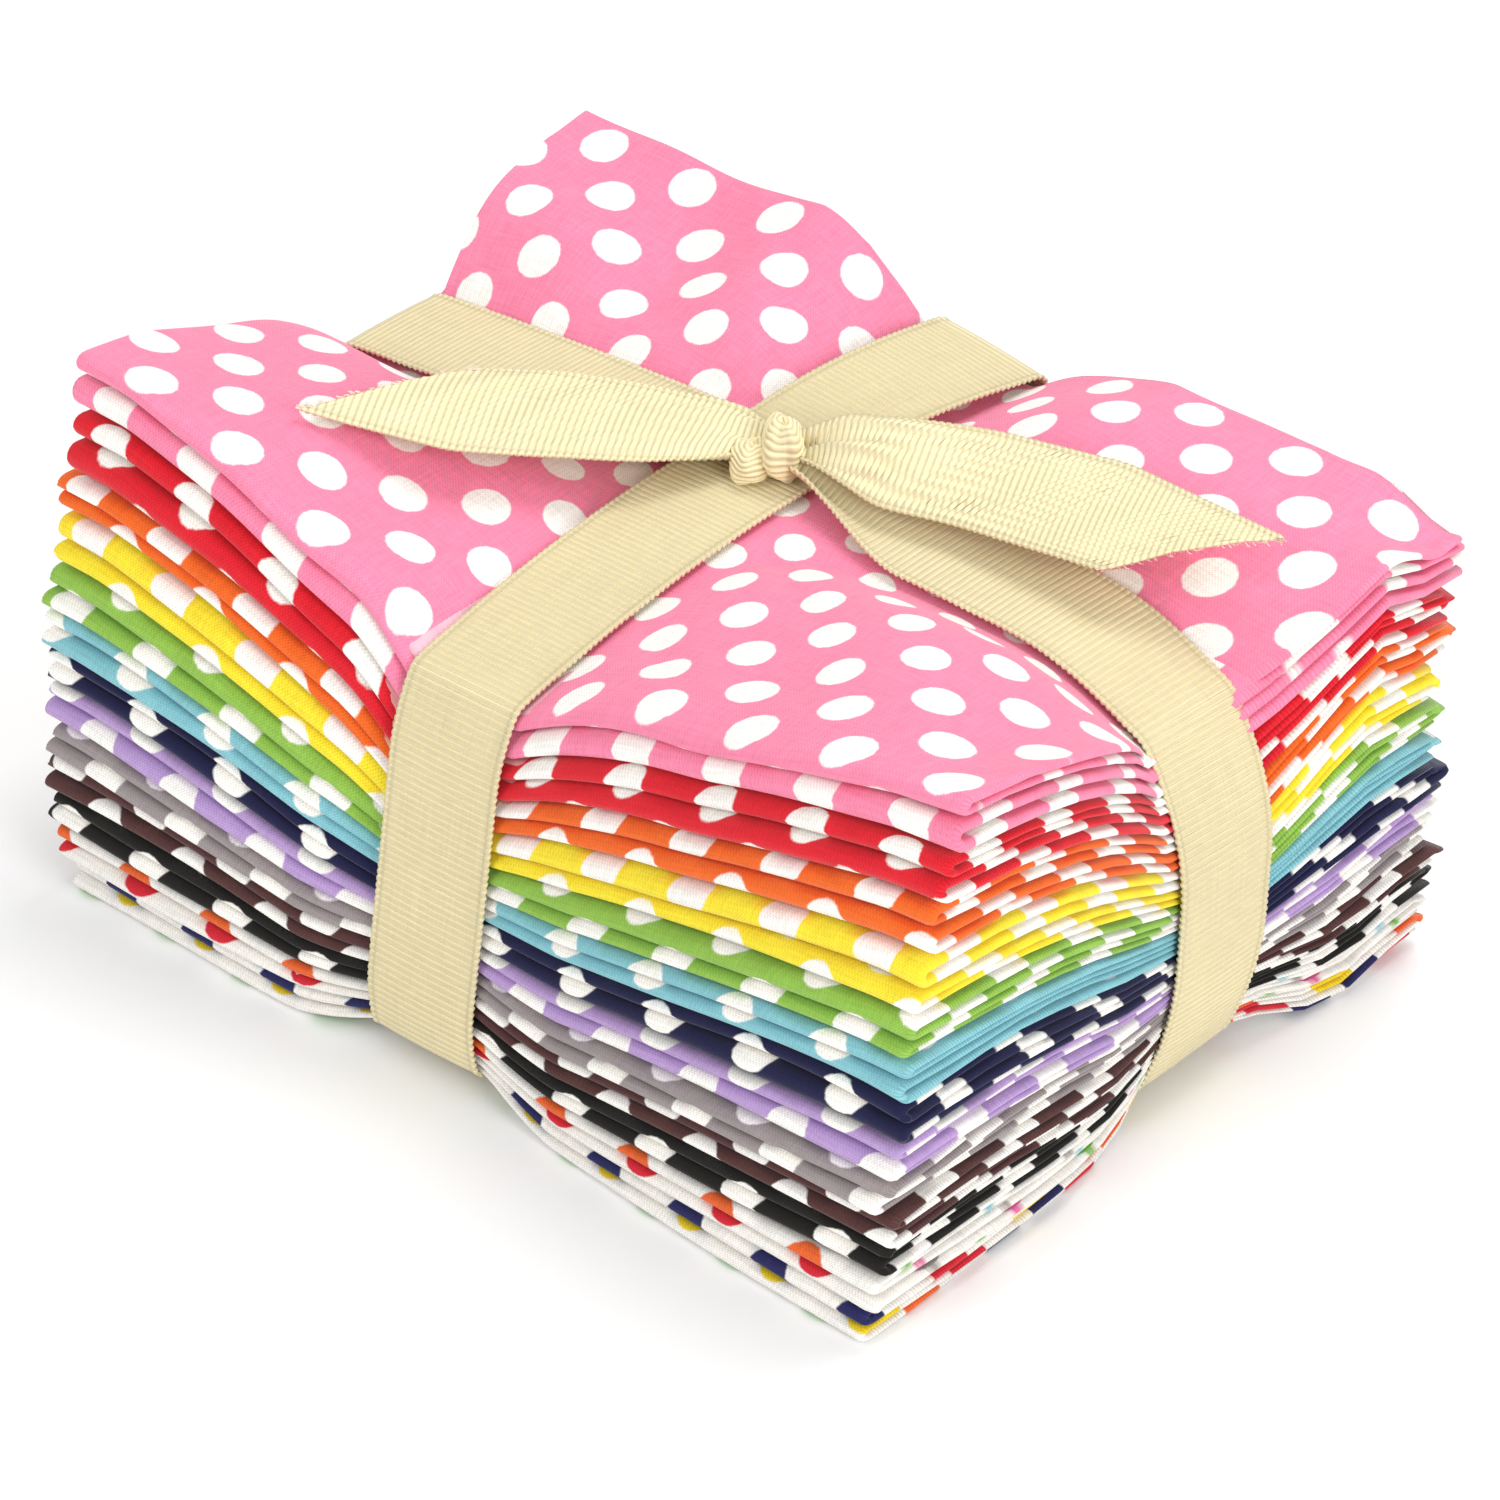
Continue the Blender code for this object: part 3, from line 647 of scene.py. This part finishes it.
def grosgrain():
    """Cream ribbed ribbon: its ribs are in the mesh; here are its threads, painted shade in the grooves between the
    ribs, and at its woven edges a painted shade line inside each raised bead and a painted highlight on the bead.
    """
    s = Shading("cream_grosgrain", 0.52)
    vector, across, along = s.cloth_coordinates()
    ground = linear(RIBBON_COLOUR)
    rib = s.sum("SINE", s.sum("MULTIPLY", along, 2 * math.pi / RIB_PITCH))
    # Painted shade: the colour is darker in the grooves between the raised ribs, dark as the rib troughs would fall in
    # shade.
    painted_groove_shade = s.range(rib, -1.0, 0.2, 0.70, 1.0)
    thread = s.noise(s.stretched(vector, (260, 4200, 1)), 1.0, 1.0)
    lengthwise = s.noise(s.stretched(vector, (4200, 60, 1)), 1.0, 1.0)
    slow = s.noise(s.stretched(vector, (30, 30, 1)), 1.0, 2.0)
    uneven = s.sum("ADD", s.sum("ADD", thread, lengthwise), slow)
    shade = s.sum("MULTIPLY", s.range(uneven, 0.9, 2.1, 0.90, 1.06), painted_groove_shade)
    side = s.sum("ABSOLUTE", across)
    # Painted shade and light at the edges: a darker line just inside each raised edge bead, and the bead itself
    # painted lighter as a highlight.
    painted_shade_inside_bead = s.range(side, 0.43 * RIBBON_WIDTH, 0.455 * RIBBON_WIDTH, 1.0, 0.84)
    painted_edge_shade_and_highlight = s.sum("MULTIPLY", painted_shade_inside_bead, s.range(side, 0.46 * RIBBON_WIDTH, 0.48 * RIBBON_WIDTH, 1.0, 1.2))
    grey = s.sum("MULTIPLY", shade, painted_edge_shade_and_highlight)
    tint = s.nodes.new("ShaderNodeCombineXYZ")
    for socket in tint.inputs:
        s.put(socket, grey)
    s.put(s.shader.inputs["Base Color"], s.blend(ground, tint.outputs[0], 1.0, "MULTIPLY"))
    s.shader.inputs["Specular IOR Level"].default_value = 0.4
    s.shader.inputs["Sheen Weight"].default_value = 0.15
    s.bump(s.sum("ADD", thread, s.sum("MULTIPLY", lengthwise, 0.7)), 0.05 * MM, 0.5)
    return s.material


def new_tree(name, inputs):
    """A Geometry Nodes tree with one geometry in and out, and named inputs for its sizes."""
    tree = bpy.data.node_groups.new(name, "GeometryNodeTree")
    tree.interface.new_socket("Geometry", in_out="INPUT", socket_type="NodeSocketGeometry")
    tree.interface.new_socket("Geometry", in_out="OUTPUT", socket_type="NodeSocketGeometry")
    for label, kind in inputs:
        tree.interface.new_socket(label, in_out="INPUT", socket_type=kind)
    return tree, tree.nodes.new("NodeGroupInput"), tree.nodes.new("NodeGroupOutput")


def tree_math(tree, operation, a, b=0.0):
    node = tree.nodes.new("ShaderNodeMath")
    node.operation = operation
    for socket, value in zip(node.inputs, (a, b)):
        if isinstance(value, bpy.types.NodeSocket):
            tree.links.new(value, socket)
        else:
            socket.default_value = value
    return node.outputs[0]


def end_tree(tree, geometry, given, out):
    """Every tree ends in Realize Instances and Set Material."""
    real = tree.nodes.new("GeometryNodeRealizeInstances")
    finish = tree.nodes.new("GeometryNodeSetMaterial")
    tree.links.new(geometry, real.inputs["Geometry"])
    tree.links.new(real.outputs[0], finish.inputs["Geometry"])
    tree.links.new(given.outputs["Material"], finish.inputs["Material"])
    tree.links.new(finish.outputs[0], out.inputs["Geometry"])
    return tree


def rib_tree():
    """Raises the ribbon's ribs: the points' "along" says how far along the ribbon each one is."""
    tree, given, out = new_tree(
        "grosgrain_ribs",
        [("Rib pitch", "NodeSocketFloat"), ("Rib height", "NodeSocketFloat"), ("Material", "NodeSocketMaterial")],
    )
    along = tree.nodes.new("GeometryNodeInputNamedAttribute")
    along.data_type = "FLOAT"
    along.inputs["Name"].default_value = "along"
    turns = tree_math(tree, "DIVIDE", along.outputs["Attribute"], given.outputs["Rib pitch"])
    wave = tree_math(tree, "SINE", tree_math(tree, "MULTIPLY", turns, 2 * math.pi))
    rise = tree_math(tree, "MULTIPLY", wave, given.outputs["Rib height"])
    normal = tree.nodes.new("GeometryNodeInputNormal")
    push = tree.nodes.new("ShaderNodeVectorMath")
    push.operation = "SCALE"
    tree.links.new(normal.outputs[0], push.inputs[0])
    tree.links.new(rise, push.inputs["Scale"])
    moved = tree.nodes.new("GeometryNodeSetPosition")
    tree.links.new(given.outputs["Geometry"], moved.inputs["Geometry"])
    tree.links.new(push.outputs[0], moved.inputs["Offset"])
    return end_tree(tree, moved.outputs[0], given, out)


def fray_tree():
    """Puts a loose curved thread on each point, along the point's "heading" and as long as its "reach"."""
    tree, given, out = new_tree(
        "frayed_threads",
        [
            ("Thread radius", "NodeSocketFloat"),
            ("Bend", "NodeSocketFloat"),
            ("Unevenness", "NodeSocketFloat"),
            ("Seed", "NodeSocketInt"),
            ("Material", "NodeSocketMaterial"),
        ],
    )
    points = tree.nodes.new("GeometryNodeMeshToPoints")
    tree.links.new(given.outputs["Geometry"], points.inputs["Mesh"])
    thread = tree.nodes.new("GeometryNodeCurveQuadraticBezier")
    thread.inputs["Resolution"].default_value = 6
    thread.inputs["Start"].default_value = (0, 0, 0)
    thread.inputs["End"].default_value = (0, 0, 1)
    middle = tree.nodes.new("ShaderNodeCombineXYZ")
    tree.links.new(given.outputs["Bend"], middle.inputs[0])
    middle.inputs[2].default_value = 0.5
    tree.links.new(middle.outputs[0], thread.inputs["Middle"])
    round_section = tree.nodes.new("GeometryNodeCurvePrimitiveCircle")
    round_section.inputs["Resolution"].default_value = 4
    heading = tree.nodes.new("GeometryNodeInputNamedAttribute")
    heading.data_type = "FLOAT_VECTOR"
    heading.inputs["Name"].default_value = "heading"
    reach = tree.nodes.new("GeometryNodeInputNamedAttribute")
    reach.data_type = "FLOAT"
    reach.inputs["Name"].default_value = "reach"
    stray = tree.nodes.new("FunctionNodeRandomValue")
    stray.data_type = "FLOAT_VECTOR"
    low = tree.nodes.new("ShaderNodeVectorMath")
    low.operation = "SCALE"
    low.inputs[0].default_value = (-1, -1, -1)
    high = tree.nodes.new("ShaderNodeVectorMath")
    high.operation = "SCALE"
    high.inputs[0].default_value = (1, 1, 1)
    for scale in (low, high):
        tree.links.new(given.outputs["Unevenness"], scale.inputs["Scale"])
    tree.links.new(low.outputs[0], stray.inputs["Min"])
    tree.links.new(high.outputs[0], stray.inputs["Max"])
    tree.links.new(given.outputs["Seed"], stray.inputs["Seed"])
    aim = tree.nodes.new("ShaderNodeVectorMath")
    aim.operation = "ADD"
    tree.links.new(heading.outputs["Attribute"], aim.inputs[0])
    tree.links.new(stray.outputs["Value"], aim.inputs[1])
    turned = tree.nodes.new("FunctionNodeAlignRotationToVector")
    turned.axis = "Z"
    tree.links.new(aim.outputs[0], turned.inputs["Vector"])
    placed = tree.nodes.new("GeometryNodeInstanceOnPoints")
    swept = tree.nodes.new("GeometryNodeCurveToMesh")
    tree.links.new(thread.outputs[0], swept.inputs["Curve"])
    tree.links.new(round_section.outputs[0], swept.inputs["Profile Curve"])
    swept.inputs["Fill Caps"].default_value = True
    tree.links.new(given.outputs["Thread radius"], round_section.inputs["Radius"])
    tree.links.new(points.outputs[0], placed.inputs["Points"])
    tree.links.new(swept.outputs[0], placed.inputs["Instance"])
    tree.links.new(turned.outputs[0], placed.inputs["Rotation"])
    size = tree.nodes.new("ShaderNodeCombineXYZ")
    tree.links.new(reach.outputs["Attribute"], size.inputs[2])
    tree.links.new(reach.outputs["Attribute"], size.inputs[0])
    size.inputs[1].default_value = 0.004
    tree.links.new(size.outputs[0], placed.inputs["Scale"])
    return end_tree(tree, placed.outputs[0], given, out)


def grown(obj, tree, values):
    """Runs a Geometry Nodes tree on the object with these inputs, and keeps the plain mesh."""
    modifier = obj.modifiers.new(tree.name, "NODES")
    modifier.node_group = tree
    for item in tree.interface.items_tree:
        if item.item_type == "SOCKET" and item.in_out == "INPUT" and item.name in values:
            modifier[item.identifier] = values[item.name]
    return made_real(obj)


def unit(vectors):
    return vectors / np.maximum(np.linalg.norm(vectors, axis=-1, keepdims=True), 1e-12)


def resampled(points, step, closed=False):
    """Points at even steps along a line."""
    line = np.vstack([points, points[:1]]) if closed else points
    lengths = np.concatenate([[0], np.cumsum(np.linalg.norm(np.diff(line, axis=0), axis=1))])
    count = max(2, round(lengths[-1] / step))
    places = np.linspace(0, lengths[-1], count + 1)
    return np.stack([np.interp(places, lengths, line[:, k]) for k in range(line.shape[1])], axis=1), places


def softened(points, window, closed=False):
    """Rounds a line's corners with a running mean over so many points."""
    kernel = np.hanning(window + 2)[1:-1]
    kernel /= kernel.sum()
    half = window // 2
    if closed:
        ring = points[:-1]
        padded = np.vstack([ring[-half:], ring, ring[:half]])
    else:
        first = 2 * points[0] - points[half:0:-1]
        last = 2 * points[-1] - points[-2 : -half - 2 : -1]
        padded = np.vstack([first, points, last])
    smooth = np.stack([np.convolve(padded[:, k], kernel, "valid") for k in range(points.shape[1])], axis=1)
    return np.vstack([smooth, smooth[:1]]) if closed else smooth


def bead(shares):
    """The raised woven edge of the ribbon, by the share of the width from its middle."""
    return 0.16 * MM * smooth_step((np.abs(shares) - 0.455) / 0.03)


def strip_of_ribbon(name, line, sideways, width_share, lift, places):
    """A strip along a line of points; lift(share across, row) raises it along the strip's own up."""
    heading = unit(np.gradient(line, axis=0))
    sideways = unit(sideways - heading * np.sum(sideways * heading, axis=1, keepdims=True))
    up = np.cross(heading, sideways)
    shares = EDGE_SHARES
    width = RIBBON_WIDTH * width_share[:, None, None]
    points = line[:, None, :] + sideways[:, None, :] * shares[None, :, None] * width
    rise = lift(shares[None, :], np.arange(len(line))[:, None]) + bead(shares)[None, :]
    points = points + up[:, None, :] * rise[..., None]
    cloth = np.stack(np.broadcast_arrays(shares[None, :] * RIBBON_WIDTH, places[:, None]), axis=-1)
    obj = add_mesh(name, points, cloth, [MATERIALS["ribbon"]])
    along = obj.data.attributes.new("along", "FLOAT", "POINT")
    along.data.foreach_set("value", np.repeat(places, len(shares)).astype(np.float32))
    ribs = {"Rib pitch": RIB_PITCH, "Rib height": RIB_HEIGHT, "Material": MATERIALS["ribbon"]}
    grown(obj, TREES["ribs"], ribs)
    return thicken(obj, RIBBON_THICKNESS)


def band_section(low_side, high_side, top_height, bottom_height, out):
    """The line of a band round the stack in its own plane, closed, from the low side's foot upwards."""
    low_top = top_height(low_side(CROSSING_TOP, CROSSING_TOP))
    high_top = top_height(high_side(CROSSING_TOP, CROSSING_TOP))
    low_heights = np.linspace(ARCH, low_top, 40)
    high_heights = np.linspace(high_top, ARCH, 40)
    low = np.stack([low_side(low_heights, low_top) - out, low_heights], axis=1)
    high = np.stack([high_side(high_heights, high_top) + out, high_heights], axis=1)
    over = np.linspace(low_side(low_top, low_top), high_side(high_top, high_top), 80)
    under = over[::-1]
    top = np.stack([over, top_height(over) + out], axis=1)
    bottom = np.stack([under, bottom_height(under) - out], axis=1)
    return np.vstack([low, top, high, bottom])


def ribbon_across():
    """The band that runs back to front, over the folds."""
    out = 0.75 * MM
    section = band_section(
        band_front, band_back, lambda y: stack_top(ribbon_middle(y), y), lambda y: stack_bottom(RIBBON_X, y), out
    )
    ring, places = resampled(section, RIB_PITCH / RIB_STEPS, closed=True)
    ring = softened(ring, 21, closed=True)
    high = np.clip(ring[:, 1] / CROSSING_TOP, 0, 1)
    middle = mix(RIBBON_X, ribbon_middle(ring[:, 0]), high)
    backwards = np.clip((ring[:, 0] - RIBBON_Y) / (BAND_BACK - RIBBON_Y), 0, 1)
    far = high * smooth_step(backwards)
    bow = BACK_BOW * high * np.sin(math.pi * backwards)
    line = np.stack([middle, ring[:, 0] + CENTRING, ring[:, 1] + bow], axis=1)
    sideways = np.tile([1.0, 0.0, 0.0], (len(line), 1))

    def lift(share, row):
        return BACK_TILT * far[row] * (0.35 + share) - 0.25 * MM * (2 * share) ** 2

    obj = strip_of_ribbon("ribbon_across_folds_band", line, -sideways, np.ones(len(line)), lift, places)
    return obj


def ribbon_along():
    """The band that runs along the folds: its two ends go into the knot."""
    out = (0.75 + RIBBON_THICKNESS / MM) * MM
    section = band_section(
        band_left,
        band_right,
        lambda x: stack_top(x, RIBBON_Y) + 1.0 * MM * pull(x, RIBBON_X, Reach(0.006, 0.006)),
        lambda x: stack_bottom(x, RIBBON_Y) - 1.0 * MM * pull(x, RIBBON_X, Reach(0.006, 0.006)),
        out,
    )
    ring, _ = resampled(section, RIB_PITCH / RIB_STEPS, closed=True)
    ring = softened(ring, 21, closed=True)[:-1]
    start = np.argmin(np.hypot(ring[:, 0] - (KNOT_PLACE.x + 4 * MM), ring[:, 1] - CROSSING_TOP))
    ring = np.roll(ring, -start, axis=0)
    stop = np.argmin(np.hypot(ring[:, 0] - (KNOT_PLACE.x - 4 * MM), ring[:, 1] - CROSSING_TOP))
    ring, places = resampled(ring[: stop + 1], RIB_PITCH / RIB_STEPS)
    low = np.clip(1 - ring[:, 1] / CROSSING_TOP, 0, 1)
    drift = -4 * MM * low * smooth_step((ring[:, 0] + HALF_LENGTH) / (2 * HALF_LENGTH))
    line = np.stack([ring[:, 0], RIBBON_Y + CENTRING + drift, ring[:, 1]], axis=1)
    from_start = smooth_step(places / (30 * MM))
    from_end = smooth_step((places[-1] - places) / (17 * MM))
    share = np.minimum(mix(0.34, 1.0, from_start), mix(0.5, 1.0, from_end))
    line[:, 2] += 2.6 * MM * (1 - from_start) + 2.0 * MM * (1 - from_end)
    sideways = np.tile([0.0, 1.0, 0.0], (len(line), 1))

    def lift(side, row):
        gather = 1 - share[row]
        pleat = 1.5 * MM * gather * np.cos(2 * math.pi * 2.2 * side + 0.8)
        return pleat - 0.25 * MM * (2 * side) ** 2

    obj = strip_of_ribbon("ribbon_along_folds_band", line, sideways, share, lift, places)
    return obj


KNOT_PLACE = Vector((-3.5 * MM, 13 * MM, 80.5 * MM))

# Both edges of each free end of the ribbon, from the knot to the cut: x, y and z in millimetres
LEFT_UPPER = ((-6, 15, 81), (-10, 16.2, 82.5), (-15, 15.8, 83), (-26.2, 10, 84.5), (-39.5, 1.1, 86), (-48.3, -8, 87))
LEFT_LOWER = (
    (-7, 11, 79),
    (-9.5, 4, 80.5),
    (-14.5, -6, 82.5),
    (-29.1, -19.5, 84),
    (-37.2, -26.8, 85),
    (-58.1, -38.5, 89),
)
RIGHT_UPPER = (
    (-1.5, 15, 82),
    (4.5, 20.4, 87),
    (14.5, 23, 89),
    (25.6, 30.5, 87),
    (48.4, 35.5, 87.5),
    (78.7, 34.7, 87),
)
RIGHT_LOWER = ((0, 12, 79), (6.7, 10.6, 80.5), (19, 9.4, 80.5), (31.8, 13.5, 80), (58.7, 15.5, 82))
TAIL_CLEARANCE = 1.2 * MM


def edge_line(known, count):
    """A smooth line through the known points, at so many even steps, with its length."""
    known = np.array(known, float) * MM + np.array([0, CENTRING, 0])
    fine, _ = resampled(known, 0.5 * MM)
    fine = softened(fine, 15)
    lengths = np.concatenate([[0], np.cumsum(np.linalg.norm(np.diff(fine, axis=0), axis=1))])
    places = np.linspace(0, lengths[-1], count)
    return np.stack([np.interp(places, lengths, fine[:, k]) for k in range(3)], axis=1), places


def tail(name, upper, lower, seed):
    """A free end of the ribbon, from its two edges: gathered where it leaves the knot, and cut on a slant."""
    count = 360
    upper_line, upper_places = edge_line(upper, count)
    lower_line, lower_places = edge_line(lower, count)
    share = (0.5 - EDGE_SHARES)[None, :]
    points = mix(upper_line[:, None, :], lower_line[:, None, :], share[..., None])
    along = mix(upper_places[:, None], lower_places[:, None], share)
    width = np.linalg.norm(upper_line - lower_line, axis=1)[:, None]
    gather = np.clip(1 - width / RIBBON_WIDTH, 0, 1)
    wave = np.cos(2 * math.pi * 2.3 * share + 0.6 + 3 * gather + seed)
    belly = 1.1 * MM * np.sin(math.pi * share) * smooth_step(along / (18 * MM))
    crumple = 0.35 * MM * np.sin(along * 160 + 5 * share + seed) * smooth_step(2 - along / (16 * MM))
    points[..., 2] += 1.9 * MM * gather * wave + belly + crumple + bead(EDGE_SHARES)[None, :]
    resting = cloth_top(points[..., 0], points[..., 1] - CENTRING) + TAIL_CLEARANCE
    over = points[..., 2] - resting
    points[..., 2] = resting + 0.5 * (over + np.sqrt(over**2 + (1.0 * MM) ** 2))
    cloth = np.stack([np.broadcast_to((0.5 - share) * RIBBON_WIDTH, along.shape), along], axis=-1)
    obj = add_mesh(name, points, cloth, [MATERIALS["ribbon"]])
    attribute = obj.data.attributes.new("along", "FLOAT", "POINT")
    attribute.data.foreach_set("value", along.ravel().astype(np.float32))
    ribs = {"Rib pitch": RIB_PITCH, "Rib height": RIB_HEIGHT, "Material": MATERIALS["ribbon"]}
    grown(obj, TREES["ribs"], ribs)
    thicken(obj, RIBBON_THICKNESS)
    heading = unit(points[-1] - points[-12])
    return obj, loose_threads(name + "_fray", points[-1], heading, 9, 1.2 * MM, "ribbon_thread", seed)


def loose_threads(name, edge, heading, each_step, length, material, seed):
    """Thread ends along a cut edge, that point roughly along the heading."""
    rng = np.random.default_rng(seed)
    count = (len(edge) - 1) * each_step
    places = np.sort(rng.uniform(0, len(edge) - 1.001, count))
    low = places.astype(int)
    share = (places - low)[:, None]
    spots = mix(edge[low], edge[low + 1], share)
    ways = np.broadcast_to(heading, edge.shape)[low]
    mesh = bpy.data.meshes.new(name)
    mesh.from_pydata(spots.tolist(), [], [])
    mesh.attributes.new("heading", "FLOAT_VECTOR", "POINT").data.foreach_set("vector", ways.astype(np.float32).ravel())
    reach = length * rng.uniform(0.3, 1.0, count) ** 1.5
    mesh.attributes.new("reach", "FLOAT", "POINT").data.foreach_set("value", reach.astype(np.float32))
    obj = bpy.data.objects.new(name, mesh)
    bpy.context.scene.collection.objects.link(obj)
    values = {"Thread radius": 0.03, "Bend": 0.35, "Unevenness": 0.5, "Seed": seed, "Material": MATERIALS[material]}
    return grown(obj, TREES["fray"], values)


Lobe = namedtuple("Lobe", "name x y z half_x half_y half_z lean seed")
KNOT_LOBES = (
    Lobe("ribbon_knot_turn", -2.6, 12.6, 81.2, 3.7, 5.6, 5.2, -49, 1),
    Lobe("ribbon_knot_front", -6.4, 9.8, 78.8, 5.0, 3.5, 3.3, 20, 2),
    Lobe("ribbon_knot_back", -4.6, 15.8, 79.4, 4.6, 3.4, 3.4, 40, 3),
)


def knot_lobe(lobe):
    """One rounded bulge of the knot, with the ribbon's ribs puckered across it."""
    around = np.linspace(0, 2 * math.pi, 145)
    down = np.linspace(0.02, math.pi - 0.02, 90)[:, None]
    shape = 1 + 0.07 * np.sin(2 * around + 3.0 * down + lobe.seed) + 0.05 * np.sin(4 * around - 3 * down + 2 * lobe.seed)
    waves = 26 * down + 1.3 * np.sin(3 * around + lobe.seed) + 0.8 * np.sin(5 * around + 2 * down)
    ribs = 0.05 * np.sin(waves) * np.sin(down)
    radius = shape + ribs
    x = lobe.half_x * radius * np.sin(down) * np.cos(around)
    y = lobe.half_y * radius * np.sin(down) * np.sin(around)
    z = lobe.half_z * radius * np.cos(down)
    lean = math.radians(lobe.lean + 90)
    turned = (x * math.cos(lean) - y * math.sin(lean), x * math.sin(lean) + y * math.cos(lean))
    place = (lobe.x + turned[0], lobe.y + turned[1] + CENTRING / MM, lobe.z + z)
    points = np.stack(np.broadcast_arrays(*place), axis=-1) * MM
    rib = waves * RIB_PITCH / (2 * math.pi)
    cloth = np.stack(np.broadcast_arrays(around * 2 * MM, rib), axis=-1)
    return closed_lump(lobe.name, points, cloth)


def closed_lump(name, points, cloth):
    """A round lump from rings of points, its seam and its two poles closed."""
    obj = add_mesh(name, points, cloth, [MATERIALS["ribbon"]])
    work = bmesh.new()
    work.from_mesh(obj.data)
    bmesh.ops.remove_doubles(work, verts=work.verts, dist=0.02 * MM)
    ends = [edge for edge in work.edges if edge.is_boundary]
    bmesh.ops.holes_fill(work, edges=ends)
    bmesh.ops.recalc_face_normals(work, faces=work.faces)
    work.to_mesh(obj.data)
    work.free()
    obj.data.shade_smooth()
    return obj


MATERIALS = {"ribbon": grosgrain(), "ribbon_thread": thread_cotton("ribbon_thread", "#F4DCCB")}
for quarter in QUARTERS:
    MATERIALS[quarter.name] = cotton_print(quarter, quarter.name.startswith("white"))
    MATERIALS[quarter.name + "_reverse"] = cotton_reverse(quarter)
    MATERIALS[quarter.name + "_edge"] = cotton_edge(quarter)
    MATERIALS[quarter.name + "_thread"] = thread_cotton("thread_" + quarter.name, quarter.colour)
TREES = {"ribs": rib_tree(), "fray": fray_tree()}


def fat_quarter(index):
    """One quarter as the whole cut sheet, folded and pressed into its place."""
    quarter = QUARTERS[index]
    if index == 0:
        columns, rows = columns_of(SHOWN_PLY_AT_TOP, 150, 26, 6), rows_of(112, 14, 8)
    else:
        shown = mix(SHOWN_PLY_AT_TOP, SHOWN_PLY_AT_BOTTOM, index / (len(QUARTERS) - 1))
        columns, rows = columns_of(shown, 72, 16, 4), rows_of(16, 16, 7)
    points = quarter_points(index, columns, rows)
    if index == 0:
        on_top = [n for n, r in enumerate(rows) if r.layer > PASSES - 1 and r.nesting]
        shows = [n for n, c in enumerate(columns) if c.side == -1]
        spread_evenly(points, on_top, shows)
    cloth_u = np.array([c.cloth for c in columns])[None, :]
    cloth_v = np.array([r.cloth for r in rows])[:, None]
    cloth = np.stack(np.broadcast_arrays(cloth_u, cloth_v), axis=-1)
    names = [quarter.name, quarter.name + "_reverse", quarter.name + "_edge"]
    obj = add_mesh(f"cloth_{index + 1:02d}_{quarter.name}", points, cloth, [MATERIALS[n] for n in names])
    thicken(obj, CLOTH_THICKNESS, back_slot=1, rim_slot=2)
    node = f"fat_quarter_{index + 1:02d}_{quarter.name}"
    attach(obj, "root")
    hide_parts(node)
    return points


def add_ribbon():
    across = ribbon_across()
    along = ribbon_along()
    lobes = [knot_lobe(lobe) for lobe in KNOT_LOBES]
    left, left_ends = tail("ribbon_tail_left", LEFT_UPPER, LEFT_LOWER, 1)
    right, right_ends = tail("ribbon_tail_right", RIGHT_UPPER, RIGHT_LOWER, 2)
    for obj in (across, along, *lobes, left, right, left_ends, right_ends):
        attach(obj, "root")
    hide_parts("ribbon_across_folds")
    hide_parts("ribbon_along_folds")
    for obj in (*lobes, left, right):
        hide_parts("ribbon_knot_and_tails")


def add_stage():
    """A plain pale surface, and soft light from above and both sides."""
    mesh = bpy.data.meshes.new("table")
    mesh.from_pydata([(-3, -3, 0), (3, -3, 0), (3, 3, 0), (-3, 3, 0)], [], [(0, 1, 2, 3)])
    table = bpy.data.objects.new("table", mesh)
    bpy.context.scene.collection.objects.link(table)
    s = Shading("pale_table", 0.7)
    s.put(s.shader.inputs["Base Color"], [0.95, 0.95, 0.95])
    mesh.materials.append(s.material)
    world = bpy.data.worlds.new("soft_room")
    world.use_nodes = True
    world.node_tree.nodes["Background"].inputs[0].default_value = (1, 1, 1, 1)
    world.node_tree.nodes["Background"].inputs[1].default_value = 0.64
    bpy.context.scene.world = world
    bpy.context.scene.view_settings.view_transform = "Standard"
    Lamp = namedtuple("Lamp", "name place size power")
    lamps = (
        Lamp("key", (-0.35, -1.1, 0.9), 0.7, 5),
        Lamp("side", (1.2, -0.35, 0.6), 0.6, 8),
        Lamp("top", (0.1, 0.5, 1.3), 0.6, 8),
    )
    for lamp in lamps:
        light = bpy.data.lights.new(lamp.name, "AREA")
        light.size = lamp.size
        light.energy = lamp.power
        obj = bpy.data.objects.new(lamp.name, light)
        obj.location = lamp.place
        obj.rotation_euler = (Vector((0, 0, 0.04)) - obj.location).to_track_quat("-Z", "Y").to_euler()
        bpy.context.scene.collection.objects.link(obj)


def add_camera():
    azimuth, elevation = CAMERA_AZIMUTH, CAMERA_ELEVATION
    back = Vector(
        (
            math.sin(azimuth) * math.cos(elevation),
            -math.cos(azimuth) * math.cos(elevation),
            math.sin(elevation),
        )
    )
    sideways = Vector((math.cos(azimuth), math.sin(azimuth), 0))
    target = sideways * CAMERA_SIDEWAYS + Vector((0, CENTRING, CAMERA_HEIGHT))
    data = bpy.data.cameras.new("camera")
    data.sensor_width = 36
    data.lens = CAMERA_FOCUS_PIXELS / PHOTO_PIXELS * data.sensor_width
    camera = bpy.data.objects.new("camera", data)
    camera.location = target + back * CAMERA_DISTANCE
    camera.rotation_euler = (-back).to_track_quat("-Z", "Y").to_euler()
    bpy.context.scene.collection.objects.link(camera)
    bpy.context.scene.camera = camera


for number in range(len(QUARTERS)):
    fat_quarter(number)
add_ribbon()
add_stage()
add_camera()
